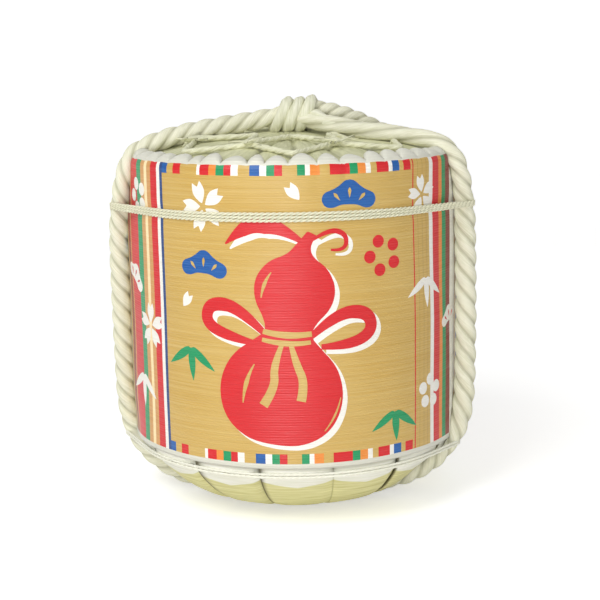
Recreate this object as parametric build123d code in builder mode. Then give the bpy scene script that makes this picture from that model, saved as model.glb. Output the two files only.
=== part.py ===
from build123d import *
import math
import os

# A cedar sake cask in its straw mats and printed wrap, tied with one thick rope and thin cords.
# Millimetres, +Z up. The origin is on the floor under the middle of the cask. The front of the
# print looks along -Y, and the rope crosses the top and the foot from side to side.

# Printed wrap: the outer sheet, with its upper margin turned over the rim in scallops
wrap_radius = 172.0
wrap_thickness = 1.6
wrap_foot = 67.0
wrap_top = 364.0
rim_round = 11.0
margin_width = 13.0
scallop_count = 48
scallop_depth = 6.0
scallop_overlap = 0.3

# Straw mats under the wrap
mat_thickness = 2.8
layer_gap = 0.3
top_mat_skirt = 3.0
crown_rise = 8.9
crown_set = 2.0
gather_count = 20
gather_radius = 6.0
gather_depth = 0.4
gather_inner = 34.0
gather_set = 8.0

# Pleated base mat
skirt_tuck = 13.0
edge_height = 24.0
edge_inset = 32.0
corner_rise = 22.0
corner_inset = 4.0
skirt_rise = 10.0
foot_radius = 73.5
pleat_count = 16
pleat_phase = 10.5
pleat_step = 2.2

# Cask of staves, held by bamboo hoops
stave_count = 16
stave_thickness = 12.0
stave_gap = 0.1
cask_taper = 10.0
hoop_thickness = 8.5
hoop_core = 5.5
hoop_width = 18.0
hoop_strips = 3
hoop_fit = 0.1
hoop_edge = 8.0
hoop_space = 4.0

# Lid and bottom, let into grooves in the staves
lid_recess = 14.0
lid_thickness = 11.0
bottom_chime = 12.0
bottom_thickness = 10.0
groove_depth = 4.0
groove_fit = 0.3
board_count = 3
board_gap = 0.1
peg_diameter = 4.0
peg_length = 26.0
peg_fit = 0.05
peg_spread = 62.0
bung_radius = 14.0
bung_stand = 9.0
bung_below = 4.0
bung_taper = 0.08
bung_fit = 0.1
bung_bevel = 1.5
bung_room = 4.0
pad_gap = 0.5
pad_cover = 27.5

# Thick rope: its lower run lies in an upright plane that is turned and stands ahead of the axis
rope_diameter = 21.0
rope_turn = 11.0
rope_ahead = 30.5
left_lean = 45.0
right_lean = 7.0
rope_fit = 0.4
trench_reach = 40.0
heel_rise = 7.0
heel_bend = 40.0
sole_half = 105.0
sole_bend = 70.0
span_bend = 110.0
tail_length = 107.0
tail_drop = 10.5
tail_back = 12.6
tail_turn_at = 35.7
tail_turn_drop = 1.8
tail_turn_back = 5.2
start_drop = 1.5
knot_strand = 11.0
knot_turns = 3
knot_space = 0.7
knot_gap = 0.5

# Thin cords
cord_diameter = 3.5
cord_space = 0.5
waist_drop = 53.0
waist_turns = 3
base_cord_drop = 6.0
base_cord_turns = 2
cord_room = 0.8
lace_count = 8
lace_gap = 0.6
lace_set = 2.0
lace_link = 122.0
lace_hold = 4.0
lace_inner = 62.0
lace_rise = 2.6
lace_lift = 22.0
lace_bend = 6.0
lace_end_turn = 5.0

# Layers worked out from the outside inwards
diagonal = math.sqrt(0.5)
wrap_inner = wrap_radius - wrap_thickness
mat_outer = wrap_inner - layer_gap
mat_inner = mat_outer - mat_thickness
cask_top_radius = mat_inner - layer_gap - hoop_thickness
cask_foot_radius = cask_top_radius - cask_taper
rim_height = wrap_top - rim_round
rim_radius = wrap_radius - rim_round
margin_radius = rim_radius - margin_width
mat_top = wrap_top - wrap_thickness - layer_gap
cask_top = mat_top - mat_thickness - layer_gap
crown_top = mat_top + crown_rise
crown_radius = margin_radius - crown_set
dome_radius = (crown_radius**2 + crown_rise**2) / (2 * crown_rise)

rope_radius = rope_diameter / 2
cord_radius = cord_diameter / 2
rope_bow = max(left_lean, right_lean) ** 2 / (8 * wrap_radius)
rope_reach = wrap_radius + layer_gap + rope_radius + rope_bow
coil_radius = rope_radius + knot_gap + knot_strand / 2
knot_height = crown_top + knot_gap + knot_strand + knot_gap + rope_radius
knot_pitch = knot_strand + knot_space
knot_half = knot_turns * knot_pitch / 2 + knot_strand / 2
cord_pitch = cord_diameter + cord_space
corner_height = edge_height + corner_rise
skirt_straight = corner_height + skirt_rise
skirt_top = wrap_foot + skirt_tuck
cask_foot = rope_diameter + rope_fit + mat_thickness + layer_gap + pad_cover

os.makedirs("parts", exist_ok=True)


def save(piece, name):
    """Label a finished sub-part and write it as its own STEP file."""
    piece.part.label = name
    export_step(piece.part, f"parts/{name}.step")


def around(radius, turn, height):
    """Point at a radius, turned in degrees from the front (-Y) towards +X."""
    angle = math.radians(turn)
    return (radius * math.sin(angle), -radius * math.cos(angle), height)


def upright(turn):
    """Plane through the cask's axis: local x is the radius, local y is the height."""
    x, y, _ = around(1, turn, 0)
    return Plane(origin=(0, 0, 0), x_dir=(x, y, 0), z_dir=(y, -x, 0))


def cask_radius(height):
    """Outer radius of the staves, which narrow towards the foot."""
    return cask_foot_radius + cask_taper * (height - cask_foot) / (cask_top - cask_foot)


def bore_radius(height):
    """Inner radius of the staves."""
    return cask_radius(height) - stave_thickness


def crown_height(radius):
    """Height of the top mat's domed upper face."""
    return crown_top - dome_radius + math.sqrt(dome_radius**2 - radius**2)


def least_gap(path, diameter, step=1.5, turns_apart=2.0):
    """Least clear space between a wound tube and itself, measured on points of its line."""
    count = int(path.length / step)
    points = [tuple(p) for p in path.positions([i / count for i in range(count + 1)])]
    skip = int(turns_apart * math.pi * diameter / step)
    nearest = min(
        math.dist(points[i], points[j])
        for i in range(len(points))
        for j in range(i + skip, len(points))
    )
    return nearest - diameter


def tell_tube(name, piece, path, diameter):
    """Print a tube's volume beside its section times its length."""
    expected = math.pi * diameter**2 / 4 * path.length
    print(f"{name}: length {path.length:.1f}, volume {piece.part.volume:.0f} of {expected:.0f}")


# Staves: one wall profile with both head grooves, turned through each stave's share of the circle
lid_top = cask_top - lid_recess
lid_under = lid_top - lid_thickness
bottom_under = cask_foot + bottom_chime
bottom_top = bottom_under + bottom_thickness
lid_groove = bore_radius(lid_under) + groove_depth
bottom_groove = bore_radius(bottom_under) + groove_depth
stave_angle = 360 / stave_count
joint_angle = math.degrees(stave_gap / cask_foot_radius)

for number in range(stave_count):
    with BuildPart() as stave:
        with BuildSketch(upright(number * stave_angle)):
            with BuildLine():
                Polyline(
                    (bore_radius(cask_foot), cask_foot),
                    (cask_radius(cask_foot), cask_foot),
                    (cask_radius(cask_top), cask_top),
                    (bore_radius(cask_top), cask_top),
                    close=True,
                )
            make_face()
            for groove, low, high in (
                (lid_groove, lid_under, lid_top),
                (bottom_groove, bottom_under, bottom_top),
            ):
                with Locations((groove, (low + high) / 2)):
                    Rectangle(
                        2 * groove_depth,
                        high - low + 2 * groove_fit,
                        align=(Align.MAX, Align.CENTER),
                        mode=Mode.SUBTRACT,
                    )
        revolve(axis=Axis.Z, revolution_arc=stave_angle - joint_angle)
    save(stave, f"stave_{number + 1:02d}")


# Hoops: split bamboo laid in strips side by side, two at the mouth, the waist and the foot
hoop_pitch = hoop_width + hoop_space
hoop_waist = (cask_foot + cask_top - hoop_pitch - hoop_width) / 2
hoop_feet = {
    "mouth_hoop_upper": cask_top - hoop_edge - hoop_width,
    "mouth_hoop_lower": cask_top - hoop_edge - hoop_width - hoop_pitch,
    "waist_hoop_upper": hoop_waist + hoop_pitch,
    "waist_hoop_lower": hoop_waist,
    "foot_hoop_upper": cask_foot + hoop_edge + hoop_pitch,
    "foot_hoop_lower": cask_foot + hoop_edge,
}
strip_width = hoop_width / hoop_strips

for name, low in hoop_feet.items():
    high = low + hoop_width
    with BuildPart() as hoop:
        with BuildSketch(Plane.XZ):
            with BuildLine():
                for strip in range(hoop_strips):
                    bottom = low + strip * strip_width
                    middle = bottom + strip_width / 2
                    top = bottom + strip_width
                    ThreePointArc(
                        (cask_radius(bottom) + hoop_core, bottom),
                        (cask_radius(middle) + hoop_thickness, middle),
                        (cask_radius(top) + hoop_core, top),
                    )
                Polyline(
                    (cask_radius(high) + hoop_core, high),
                    (cask_radius(high) + hoop_fit, high),
                    (cask_radius(low) + hoop_fit, low),
                    (cask_radius(low) + hoop_core, low),
                )
            make_face()
        revolve(axis=Axis.Z)
    save(hoop, name)


# Lid and bottom: boards pegged edge to edge, cut to one round
def peg_places(radius, height):
    """Middles of the pegs across each joint between the boards."""
    width = 2 * radius / board_count
    return [
        (-radius + joint * width, side * peg_spread, height)
        for joint in range(1, board_count)
        for side in (-1, 1)
    ]


def bung_outline(low, high, extra):
    """Half outline of the tapered bung, or with extra of the hole that it sits in."""
    low_radius = bung_radius + bung_taper * (low - lid_top) + extra
    high_radius = bung_radius + bung_taper * (high - lid_top) + extra
    return [(0, low), (low_radius, low), (high_radius, high), (0, high)]


with BuildPart() as bung_hole:
    with BuildSketch(Plane.XZ):
        with BuildLine():
            Polyline(*bung_outline(lid_under - bung_fit, lid_top + bung_fit, bung_fit), close=True)
        make_face()
    revolve(axis=Axis.Z)

heads = {
    "lid": (lid_groove - groove_fit, lid_under, lid_thickness),
    "bottom": (bottom_groove - groove_fit, bottom_under, bottom_thickness),
}

for head, (radius, under, thickness) in heads.items():
    width = 2 * radius / board_count
    middle = under + thickness / 2
    for number in range(board_count):
        with BuildPart() as board:
            with BuildSketch(Plane.XY.offset(under)):
                Circle(radius)
                with Locations((-radius + (number + 0.5) * width, 0)):
                    Rectangle(width - board_gap, 2 * radius, mode=Mode.INTERSECT)
            extrude(amount=thickness)
            with Locations(*peg_places(radius, middle)):
                Cylinder(
                    peg_diameter / 2 + peg_fit,
                    peg_length,
                    rotation=(0, 90, 0),
                    mode=Mode.SUBTRACT,
                )
            if head == "lid":
                add(bung_hole.part, mode=Mode.SUBTRACT)
        save(board, f"{head}_board_{number + 1}")

    with BuildPart() as pegs:
        with Locations(*peg_places(radius, middle)):
            Cylinder(peg_diameter / 2, peg_length - 2 * peg_fit, rotation=(0, 90, 0))
    save(pegs, f"{head}_pegs")

bung_top = lid_top + bung_stand
with BuildPart() as bung:
    with BuildSketch(Plane.XZ):
        with BuildLine():
            Polyline(*bung_outline(lid_under - bung_below, bung_top, 0), close=True)
        make_face()
    revolve(axis=Axis.Z)
    chamfer(bung.edges().group_by(Axis.Z)[-1], bung_bevel)
save(bung, "bung")


# Rope: from its tail through the knot, down the left side, under the foot and up the right side
turn_cos = math.cos(math.radians(rope_turn))
turn_sin = math.sin(math.radians(rope_turn))
run_half = math.sqrt(rope_reach**2 - rope_ahead**2)
shoulder_bend = rope_reach - rim_radius


def low_run(along, height):
    """Point in the plane of the rope's lower run, measured along it from where it is nearest the axis."""
    return (
        along * turn_cos - rope_ahead * turn_sin,
        -along * turn_sin - rope_ahead * turn_cos,
        height,
    )


def heel_corner(halvings=40):
    """Height of the corner below the wall whose bend starts a little above the wrap's edge."""
    low, high = rope_radius, wrap_foot
    for _ in range(halvings):
        corner = (low + high) / 2
        slope = math.atan2(corner - rope_radius, run_half - sole_half)
        bend_top = corner + heel_bend * math.tan((math.pi / 2 - slope) / 2)
        low, high = (corner, high) if bend_top < wrap_foot + heel_rise else (low, corner)
    return corner


def rope_shoulder(side, start, heel, lean):
    """Corner where a span from the knot, drawn tight over the rim, turns down the wall to a heel."""
    y = heel[1] - lean
    x = side * math.sqrt(rope_reach**2 - y**2)
    reach = math.hypot(x - start[0], y - start[1])
    run = reach - shoulder_bend
    fall = start[2] - rim_height
    slope = math.atan2(fall, run) - math.asin(shoulder_bend / math.hypot(run, fall))
    return (x, y, start[2] - reach * math.tan(slope))


knot_left = (-knot_half - cord_diameter, 0, knot_height)
knot_right = (knot_half + cord_diameter, 0, knot_height)
tail_turn = (knot_right[0] + tail_turn_at, tail_turn_back, knot_height - tail_turn_drop)
tail_tip = (knot_right[0] + tail_length, tail_back, knot_height - tail_drop)
rope_start = (knot_right[0], -rope_diameter - rope_fit, knot_height - start_drop)

heel_height = heel_corner()
left_heel, right_heel = low_run(-run_half, heel_height), low_run(run_half, heel_height)
left_sole, right_sole = low_run(-sole_half, rope_radius), low_run(sole_half, rope_radius)
left_shoulder = rope_shoulder(-1, knot_left, left_heel, left_lean)
right_shoulder = rope_shoulder(1, rope_start, right_heel, right_lean)

rope_points = [
    tail_tip,
    tail_turn,
    knot_right,
    knot_left,
    left_shoulder,
    left_heel,
    left_sole,
    right_sole,
    right_heel,
    right_shoulder,
    rope_start,
]
rope_bends = [
    span_bend,
    span_bend,
    span_bend,
    shoulder_bend,
    heel_bend,
    sole_bend,
    sole_bend,
    heel_bend,
    shoulder_bend,
]

with BuildPart() as main_rope:
    with BuildLine() as rope_line:
        FilletPolyline(*rope_points, radius=rope_bends)
    with BuildSketch(Plane(origin=rope_line.line @ 0, z_dir=rope_line.line % 0)):
        Circle(rope_radius)
    sweep()
tell_tube("main_rope", main_rope, rope_line.wire(), rope_diameter)
save(main_rope, "main_rope")

# Knot: the rope's strand wound round its other end, in half turns that each lie in one plane
with BuildPart() as rope_knot:
    with BuildLine() as knot_line:
        for half in range(2 * knot_turns):
            side = 1 if half % 2 == 0 else -1
            near_x = half * knot_pitch / 2 - knot_turns * knot_pitch / 2
            far_x = near_x + knot_pitch / 2
            reach = math.hypot(coil_radius, knot_pitch / 4)
            ThreePointArc(
                (near_x, 0, knot_height - side * coil_radius),
                ((near_x + far_x) / 2, -side * reach, knot_height),
                (far_x, 0, knot_height + side * coil_radius),
            )
    with BuildSketch(Plane(origin=knot_line.line @ 0, z_dir=knot_line.line % 0)):
        Circle(knot_strand / 2)
    sweep()
tell_tube("rope_knot", rope_knot, knot_line.wire(), knot_strand)
print(f"rope_knot: least gap to itself {least_gap(knot_line.wire(), knot_strand, turns_apart=1):.2f}")
save(rope_knot, "rope_knot")


# Thin cords wound round the wall and outside the rope
def belt(side, half_length, drum, post_y, post_reach, front):
    """A quarter turn round the drum and one post, as points of arcs and runs in its own plane.

    half_length is the reach of the outermost point along the first axis of that plane.
    """
    post_x = half_length - post_reach
    span = math.hypot(post_x, post_y)
    lean = math.atan2(post_y, post_x)
    opening = math.acos((drum - post_reach) / span)
    touch = lean - opening if front else lean + opening
    mid = -90 if front else 90
    on_drum = (drum * math.cos(touch), drum * math.sin(touch))
    on_post = (post_x + post_reach * math.cos(touch), post_y + post_reach * math.sin(touch))
    over_post = (
        post_x + post_reach * math.cos(touch / 2),
        post_y + post_reach * math.sin(touch / 2),
    )
    crest = (0, drum * math.sin(math.radians(mid)))
    quarter = (
        drum * math.cos((touch + math.radians(mid)) / 2),
        drum * math.sin((touch + math.radians(mid)) / 2),
    )
    outermost = (half_length, post_y)
    return [(side * u, v) for u, v in (outermost, over_post, on_post, on_drum, quarter, crest)]


def rope_at(side, height):
    """Where the rope runs straight down the wall at a height, at -1 left or +1 right."""
    heel, shoulder = (left_heel, left_shoulder) if side < 0 else (right_heel, right_shoulder)
    share = (height - heel[2]) / (shoulder[2] - heel[2])
    return tuple(heel[axis] + share * (shoulder[axis] - heel[axis]) for axis in (0, 1))


def winding(drum, post_reach, low, turns):
    """Draw a cord's turns round the drum and the rope at both sides, climbing along the back."""
    level = low + (turns - 1) / 2 * cord_pitch

    def quarter_turn(side, front, start, inward):
        """One quarter from the outermost point to the crest, or back, on a level or tilted plane."""
        post_x, post_y = rope_at(side, level)
        reach = abs(post_x) + post_reach
        tilt = 0 if front else cord_pitch
        half_length = math.hypot(reach, tilt / 2)
        middle = start if front else start + tilt / 2

        def place(point):
            u, v = point
            return (u * reach / half_length, v, middle - tilt / 2 * u / half_length)

        points = [place(p) for p in belt(side, half_length, drum, post_y, post_reach, front)]
        outermost, over_post, on_post, on_drum, quarter, crest = points
        if inward:
            ThreePointArc(outermost, over_post, on_post)
            Line(on_post, on_drum)
            ThreePointArc(on_drum, quarter, crest)
        else:
            ThreePointArc(crest, quarter, on_drum)
            Line(on_drum, on_post)
            ThreePointArc(on_post, over_post, outermost)

    for turn in range(turns):
        height = low + turn * cord_pitch
        quarter_turn(-1, False, height - cord_pitch, False)
        quarter_turn(-1, True, height, True)
        quarter_turn(1, True, height, False)
        quarter_turn(1, False, height, True)


waist_low = wrap_top - waist_drop - (waist_turns - 1) / 2 * cord_pitch
base_cord_low = wrap_foot - base_cord_drop - cord_pitch * (base_cord_turns - 1) / 2
wound_cords = {
    "waist_cord": (wrap_radius + layer_gap, waist_low, waist_turns),
    "base_cord": (mat_outer + layer_gap, base_cord_low, base_cord_turns),
}

for name, (seat, low, turns) in wound_cords.items():
    with BuildPart() as wound:
        with BuildLine() as wound_line:
            winding(seat + cord_radius, rope_radius + cord_room + cord_radius, low, turns)
        with BuildSketch(Plane(origin=wound_line.line @ 0, z_dir=wound_line.line % 0)):
            Circle(cord_radius)
        sweep()
    tell_tube(name, wound, wound_line.wire(), cord_diameter)
    print(f"{name}: least gap to itself {least_gap(wound_line.wire(), cord_diameter, turns_apart=8):.2f}")
    save(wound, name)


# Lacing of the top mat: an outer zigzag stitched at the rim, and an inner one hooked over it
def lace_point(radius, turn, rise):
    """Middle of a lacing cord that lies on the domed top mat, or stands above it by rise."""
    return around(radius, turn, crown_height(radius) + lace_gap + cord_radius + rise)


lace_step = 360 / lace_count
lacings = {
    "top_lacing_outer": (crown_radius - lace_set, lace_link, 0),
    "top_lacing_inner": (lace_inner, lace_link + lace_hold, lace_rise),
}

for name, (stitch, link, rise) in lacings.items():
    points = []
    for number in range(lace_count):
        turn = 180 + number * lace_step
        start_turn = turn + lace_end_turn if number == 0 else turn
        end_turn = turn + lace_step - (lace_end_turn if number == lace_count - 1 else 0)
        hook_turn = turn + lace_step / 2
        points.append(lace_point(stitch, start_turn, 0))
        if rise:
            points.append(lace_point(link - lace_lift, (3 * hook_turn + start_turn) / 4, 0))
        points.append(lace_point(link, hook_turn, rise))
        if rise:
            points.append(lace_point(link - lace_lift, (3 * hook_turn + end_turn) / 4, 0))
    points.append(lace_point(stitch, end_turn, 0))
    with BuildPart() as lacing:
        with BuildLine() as lacing_line:
            FilletPolyline(*points, radius=lace_bend)
        with BuildSketch(Plane(origin=lacing_line.line @ 0, z_dir=lacing_line.line % 0)):
            Circle(cord_radius)
        sweep()
    tell_tube(name, lacing, lacing_line.wire(), cord_diameter)
    save(lacing, name)


# Trench that the tight rope presses into the base mat and its pad, open towards the floor
def trench(radius):
    """A channel of this radius round the rope's lower run, with its walls carried straight out."""
    low_points = [left_shoulder, left_heel, left_sole, right_sole, right_heel, right_shoulder]
    low_bends = [heel_bend, sole_bend, sole_bend, heel_bend]
    run_plane = Plane(
        origin=low_run(0, rope_radius),
        x_dir=(turn_cos, -turn_sin, 0),
        z_dir=(-turn_sin, -turn_cos, 0),
    )
    right = [(sole_half, 0), (run_half, heel_height - rope_radius), (run_half, rim_height)]
    outline = [(-u, v) for u, v in right[::-1]] + right
    below = -trench_reach
    beside = rope_reach + trench_reach
    with BuildPart() as channel:
        with BuildLine() as run:
            FilletPolyline(*low_points, radius=low_bends)
        with BuildSketch(Plane(origin=run.line @ 0, z_dir=run.line % 0)):
            Circle(radius)
        sweep()
        with BuildSketch(run_plane):
            with BuildLine():
                FilletPolyline(*outline, radius=low_bends)
                Polyline(
                    outline[-1],
                    (beside, outline[-1][1]),
                    (beside, below),
                    (-beside, below),
                    (-beside, outline[0][1]),
                    outline[0],
                )
            make_face()
        extrude(amount=radius, both=True)
    return channel.part


# Base mat: pleats laid one over the next, drawn in under the foot
def base_section(inset):
    """Half section of the base mat's outer face, drawn in by inset all along."""
    high = skirt_top + 2 * inset
    with BuildSketch() as section:
        with BuildLine():
            Polyline(
                (0, 0),
                (foot_radius, 0),
                (mat_outer - edge_inset, edge_height),
                (mat_outer - corner_inset, corner_height),
                (mat_outer, skirt_straight),
                (mat_outer, high),
                (0, high),
                close=True,
            )
        make_face()
        mirror(about=Plane.YZ)
        offset(amount=-inset, kind=Kind.INTERSECTION, mode=Mode.REPLACE)
        Rectangle(mat_outer, high, align=(Align.MIN, Align.MIN), mode=Mode.INTERSECT)
    return section.sketch


def pleated_ring(radius):
    """Level section of the pleats: each arc falls back by a step, and the next one laps over it."""
    step = pleat_step * radius / mat_outer
    turn = 360 / pleat_count
    with BuildSketch() as ring:
        with BuildLine():
            for pleat in range(pleat_count):
                start = around(radius, pleat_phase + pleat * turn, 0)[:2]
                middle = around(radius - step / 2, pleat_phase + (pleat + 0.5) * turn, 0)[:2]
                end = around(radius - step, pleat_phase + (pleat + 1) * turn, 0)[:2]
                ThreePointArc(start, middle, end)
                Line(end, around(radius, pleat_phase + (pleat + 1) * turn, 0)[:2])
        make_face()
    return ring.sketch


base_wall = pleat_step + mat_thickness
base_rings = [
    (foot_radius, 0),
    (mat_outer - edge_inset, edge_height),
    (mat_outer - corner_inset, corner_height),
    (mat_outer, skirt_straight),
    (mat_outer, skirt_top),
]
rope_channel = trench(rope_radius + rope_fit)
lined_channel = trench(rope_radius + rope_fit + mat_thickness)
pad_channel = trench(rope_radius + rope_fit + mat_thickness + layer_gap)

with BuildPart() as base_hollow:
    with BuildSketch(Plane.XZ):
        add(base_section(base_wall))
    revolve(axis=Axis.Z)
    add(lined_channel, mode=Mode.SUBTRACT)

with BuildPart() as base_mat:
    for radius, height in base_rings:
        with BuildSketch(Plane.XY.offset(height)):
            add(pleated_ring(radius))
    loft(ruled=True)
    add(base_hollow.part, mode=Mode.SUBTRACT)
    add(rope_channel, mode=Mode.SUBTRACT)
save(base_mat, "base_mat")

# Straw pads: one under the cask, one between the lid and the top mat
with BuildPart() as base_pad:
    with BuildSketch(Plane.XZ):
        add(base_section(base_wall + layer_gap))
        Rectangle(
            cask_foot_radius,
            cask_foot,
            align=(Align.MIN, Align.MIN),
            mode=Mode.INTERSECT,
        )
    revolve(axis=Axis.Z)
    add(pad_channel, mode=Mode.SUBTRACT)
save(base_pad, "base_straw_pad")

pad_radius = bore_radius(lid_top) - pad_gap
pad_top = crown_top - mat_thickness - layer_gap
pad_edge = crown_height(pad_radius) - mat_thickness - layer_gap
with BuildPart() as top_pad:
    with BuildSketch(Plane.XZ):
        with BuildLine():
            ThreePointArc(
                (0, pad_top),
                (pad_radius / 2, crown_height(pad_radius / 2) - mat_thickness - layer_gap),
                (pad_radius, pad_edge),
            )
            Polyline((pad_radius, pad_edge), (pad_radius, lid_top), (0, lid_top), (0, pad_top))
        make_face()
    revolve(axis=Axis.Z)
    with BuildSketch(Plane.XY.offset(lid_top)):
        Circle(bung_radius + bung_room)
    extrude(amount=crown_top - lid_top, mode=Mode.SUBTRACT)
save(top_pad, "top_straw_pad")

# Inner mat: rolled round the hoops, thicker where the cask narrows
inner_mat_foot = skirt_top + layer_gap
inner_mat_top = rim_height - top_mat_skirt - layer_gap
with BuildPart() as inner_mat:
    with BuildSketch(Plane.XZ):
        with BuildLine():
            Polyline(
                (cask_radius(inner_mat_foot) + hoop_thickness + layer_gap, inner_mat_foot),
                (mat_outer, inner_mat_foot),
                (mat_outer, inner_mat_top),
                (cask_radius(inner_mat_top) + hoop_thickness + layer_gap, inner_mat_top),
                close=True,
            )
        make_face()
    revolve(axis=Axis.Z)
save(inner_mat, "inner_mat")

# Top mat: turned over the rim, domed, and drawn up in gathers
with BuildPart() as top_mat:
    with BuildSketch(Plane.XZ):
        with BuildLine():
            rim_outer = rim_round - wrap_thickness - layer_gap
            rim_inner = rim_outer - mat_thickness
            Line((mat_outer, rim_height - top_mat_skirt), (mat_outer, rim_height))
            ThreePointArc(
                (mat_outer, rim_height),
                (rim_radius + rim_outer * diagonal, rim_height + rim_outer * diagonal),
                (rim_radius, mat_top),
            )
            Line((rim_radius, mat_top), (crown_radius, mat_top))
            ThreePointArc(
                (crown_radius, mat_top),
                (crown_radius / 2, crown_height(crown_radius / 2)),
                (0, crown_top),
            )
            Line((0, crown_top), (0, crown_top - mat_thickness))
            ThreePointArc(
                (0, crown_top - mat_thickness),
                (crown_radius / 2, crown_height(crown_radius / 2) - mat_thickness),
                (crown_radius, mat_top - mat_thickness),
            )
            Line((crown_radius, mat_top - mat_thickness), (rim_radius, mat_top - mat_thickness))
            ThreePointArc(
                (rim_radius, mat_top - mat_thickness),
                (rim_radius + rim_inner * diagonal, rim_height + rim_inner * diagonal),
                (mat_inner, rim_height),
            )
            Polyline(
                (mat_inner, rim_height),
                (mat_inner, rim_height - top_mat_skirt),
                (mat_outer, rim_height - top_mat_skirt),
            )
        make_face()
    revolve(axis=Axis.Z)
    gather_outer = crown_radius - gather_set
    gather_fall = crown_height(gather_inner) - crown_height(gather_outer)
    gather_run = gather_outer - gather_inner
    gather_height = (crown_height(gather_inner) + crown_height(gather_outer)) / 2
    gather_mid = (gather_inner + gather_outer) / 2
    with PolarLocations(0, gather_count, start_angle=180 / gather_count):
        with Locations((gather_mid, 0, gather_height + gather_radius - gather_depth)):
            Cylinder(
                gather_radius,
                math.hypot(gather_run, gather_fall),
                rotation=(0, 90 + math.degrees(math.atan2(gather_fall, gather_run)), 0),
                mode=Mode.SUBTRACT,
            )
save(top_mat, "top_mat")

# Printed wrap, with the scallops of its upper margin lying on the top mat
scallop_root = margin_radius + scallop_depth
scallop_half = math.pi * scallop_root / scallop_count + scallop_overlap
with BuildPart() as printed_wrap:
    with BuildSketch(Plane.XZ):
        with BuildLine():
            rim_inside = rim_round - wrap_thickness
            Line((wrap_radius, wrap_foot), (wrap_radius, rim_height))
            ThreePointArc(
                (wrap_radius, rim_height),
                (rim_radius + rim_round * diagonal, rim_height + rim_round * diagonal),
                (rim_radius, wrap_top),
            )
            Polyline(
                (rim_radius, wrap_top),
                (scallop_root, wrap_top),
                (scallop_root, wrap_top - wrap_thickness),
                (rim_radius, wrap_top - wrap_thickness),
            )
            ThreePointArc(
                (rim_radius, wrap_top - wrap_thickness),
                (rim_radius + rim_inside * diagonal, rim_height + rim_inside * diagonal),
                (wrap_inner, rim_height),
            )
            Polyline((wrap_inner, rim_height), (wrap_inner, wrap_foot), (wrap_radius, wrap_foot))
        make_face()
    revolve(axis=Axis.Z)
    with BuildSketch(Plane.XY.offset(wrap_top - wrap_thickness)):
        with PolarLocations(scallop_root, scallop_count):
            Ellipse(scallop_depth, scallop_half)
    extrude(amount=wrap_thickness)
save(printed_wrap, "printed_wrap")
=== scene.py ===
# %% [markdown]
# # A sake barrel in straw, print and rope
# A cedar cask is dressed for a celebration. Straw mats go round it, a printed sheet is stretched
# over them, thin cords hold the sheet, and one thick rope goes round the whole. The packed
# construction is a fixed frame, and every piece below is made around it, in the same place.

# %% Load the frame
import math

import bmesh
import bpy
import numpy as np
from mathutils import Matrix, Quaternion, Vector
from mathutils.kdtree import KDTree


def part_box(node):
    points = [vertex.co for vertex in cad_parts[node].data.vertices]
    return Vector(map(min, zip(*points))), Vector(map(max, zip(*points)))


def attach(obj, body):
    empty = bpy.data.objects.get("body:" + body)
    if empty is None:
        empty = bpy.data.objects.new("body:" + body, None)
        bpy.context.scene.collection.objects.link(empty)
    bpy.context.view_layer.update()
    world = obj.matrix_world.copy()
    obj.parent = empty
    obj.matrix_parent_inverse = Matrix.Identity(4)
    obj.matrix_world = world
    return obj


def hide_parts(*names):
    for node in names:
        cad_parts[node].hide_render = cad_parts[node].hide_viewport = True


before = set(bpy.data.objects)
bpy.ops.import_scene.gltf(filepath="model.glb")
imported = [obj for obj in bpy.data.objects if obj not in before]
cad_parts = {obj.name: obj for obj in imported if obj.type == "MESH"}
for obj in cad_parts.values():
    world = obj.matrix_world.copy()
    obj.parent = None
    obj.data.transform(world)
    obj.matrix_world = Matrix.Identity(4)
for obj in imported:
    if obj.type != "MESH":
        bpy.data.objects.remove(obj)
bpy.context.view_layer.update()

MM = 0.001
print("frame nodes:", len(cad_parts))

# %% [markdown]
# The frame says where the pieces are. Shapes are worked out in millimetres, because a cask maker
# thinks in them, and a mesh turns them into metres at the very end.


# %% Sizes that the frame gives
def frame_box(node):
    """Lowest and highest corner of a node of the frame, in millimetres."""
    return [np.array(corner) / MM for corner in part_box(node)]


wrap_low, wrap_high = frame_box("printed_wrap")
WALL = wrap_high[0]
WRAP_FOOT, WRAP_TOP = wrap_low[2], wrap_high[2]
MAT = frame_box("top_mat")[1][0]
SKIRT_TOP = frame_box("base_mat")[1][2]
ROPE, CORD = 21.0, 3.4
print(f"printed wall radius {WALL:.1f} mm, from {WRAP_FOOT:.1f} to {WRAP_TOP:.1f} mm")

# %% [markdown]
# The camera comes first, so that every render can be laid beside the photograph. It stands about
# 1.4 m in front, a little above the barrel's top, and looks slightly down.

# %% Camera
CAMERA_DISTANCE, CAMERA_HEIGHT = 1424.0, 471.5
CAMERA_PITCH, CAMERA_ROLL = 10.75, -1.02
CAMERA_LENS, CAMERA_SHIFT = 82.1, 0.008
camera = bpy.data.objects.new("camera", bpy.data.cameras.new("camera"))
bpy.context.scene.collection.objects.link(camera)
bpy.context.scene.camera = camera
camera.location = (0, -CAMERA_DISTANCE * MM, CAMERA_HEIGHT * MM)
camera.rotation_mode = "QUATERNION"
look = Quaternion((1, 0, 0), math.radians(90 - CAMERA_PITCH))
camera.rotation_quaternion = look @ Quaternion((0, 0, 1), math.radians(CAMERA_ROLL))
camera.data.lens, camera.data.shift_x = CAMERA_LENS, CAMERA_SHIFT
print("camera lens", camera.data.lens, "mm")

# %% [markdown]
# Each finish is a small net of shader nodes. A few helpers keep such nets short. The main ones add
# a node and fill its sockets, and start a node group, which is an effect that several finishes share.


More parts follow.
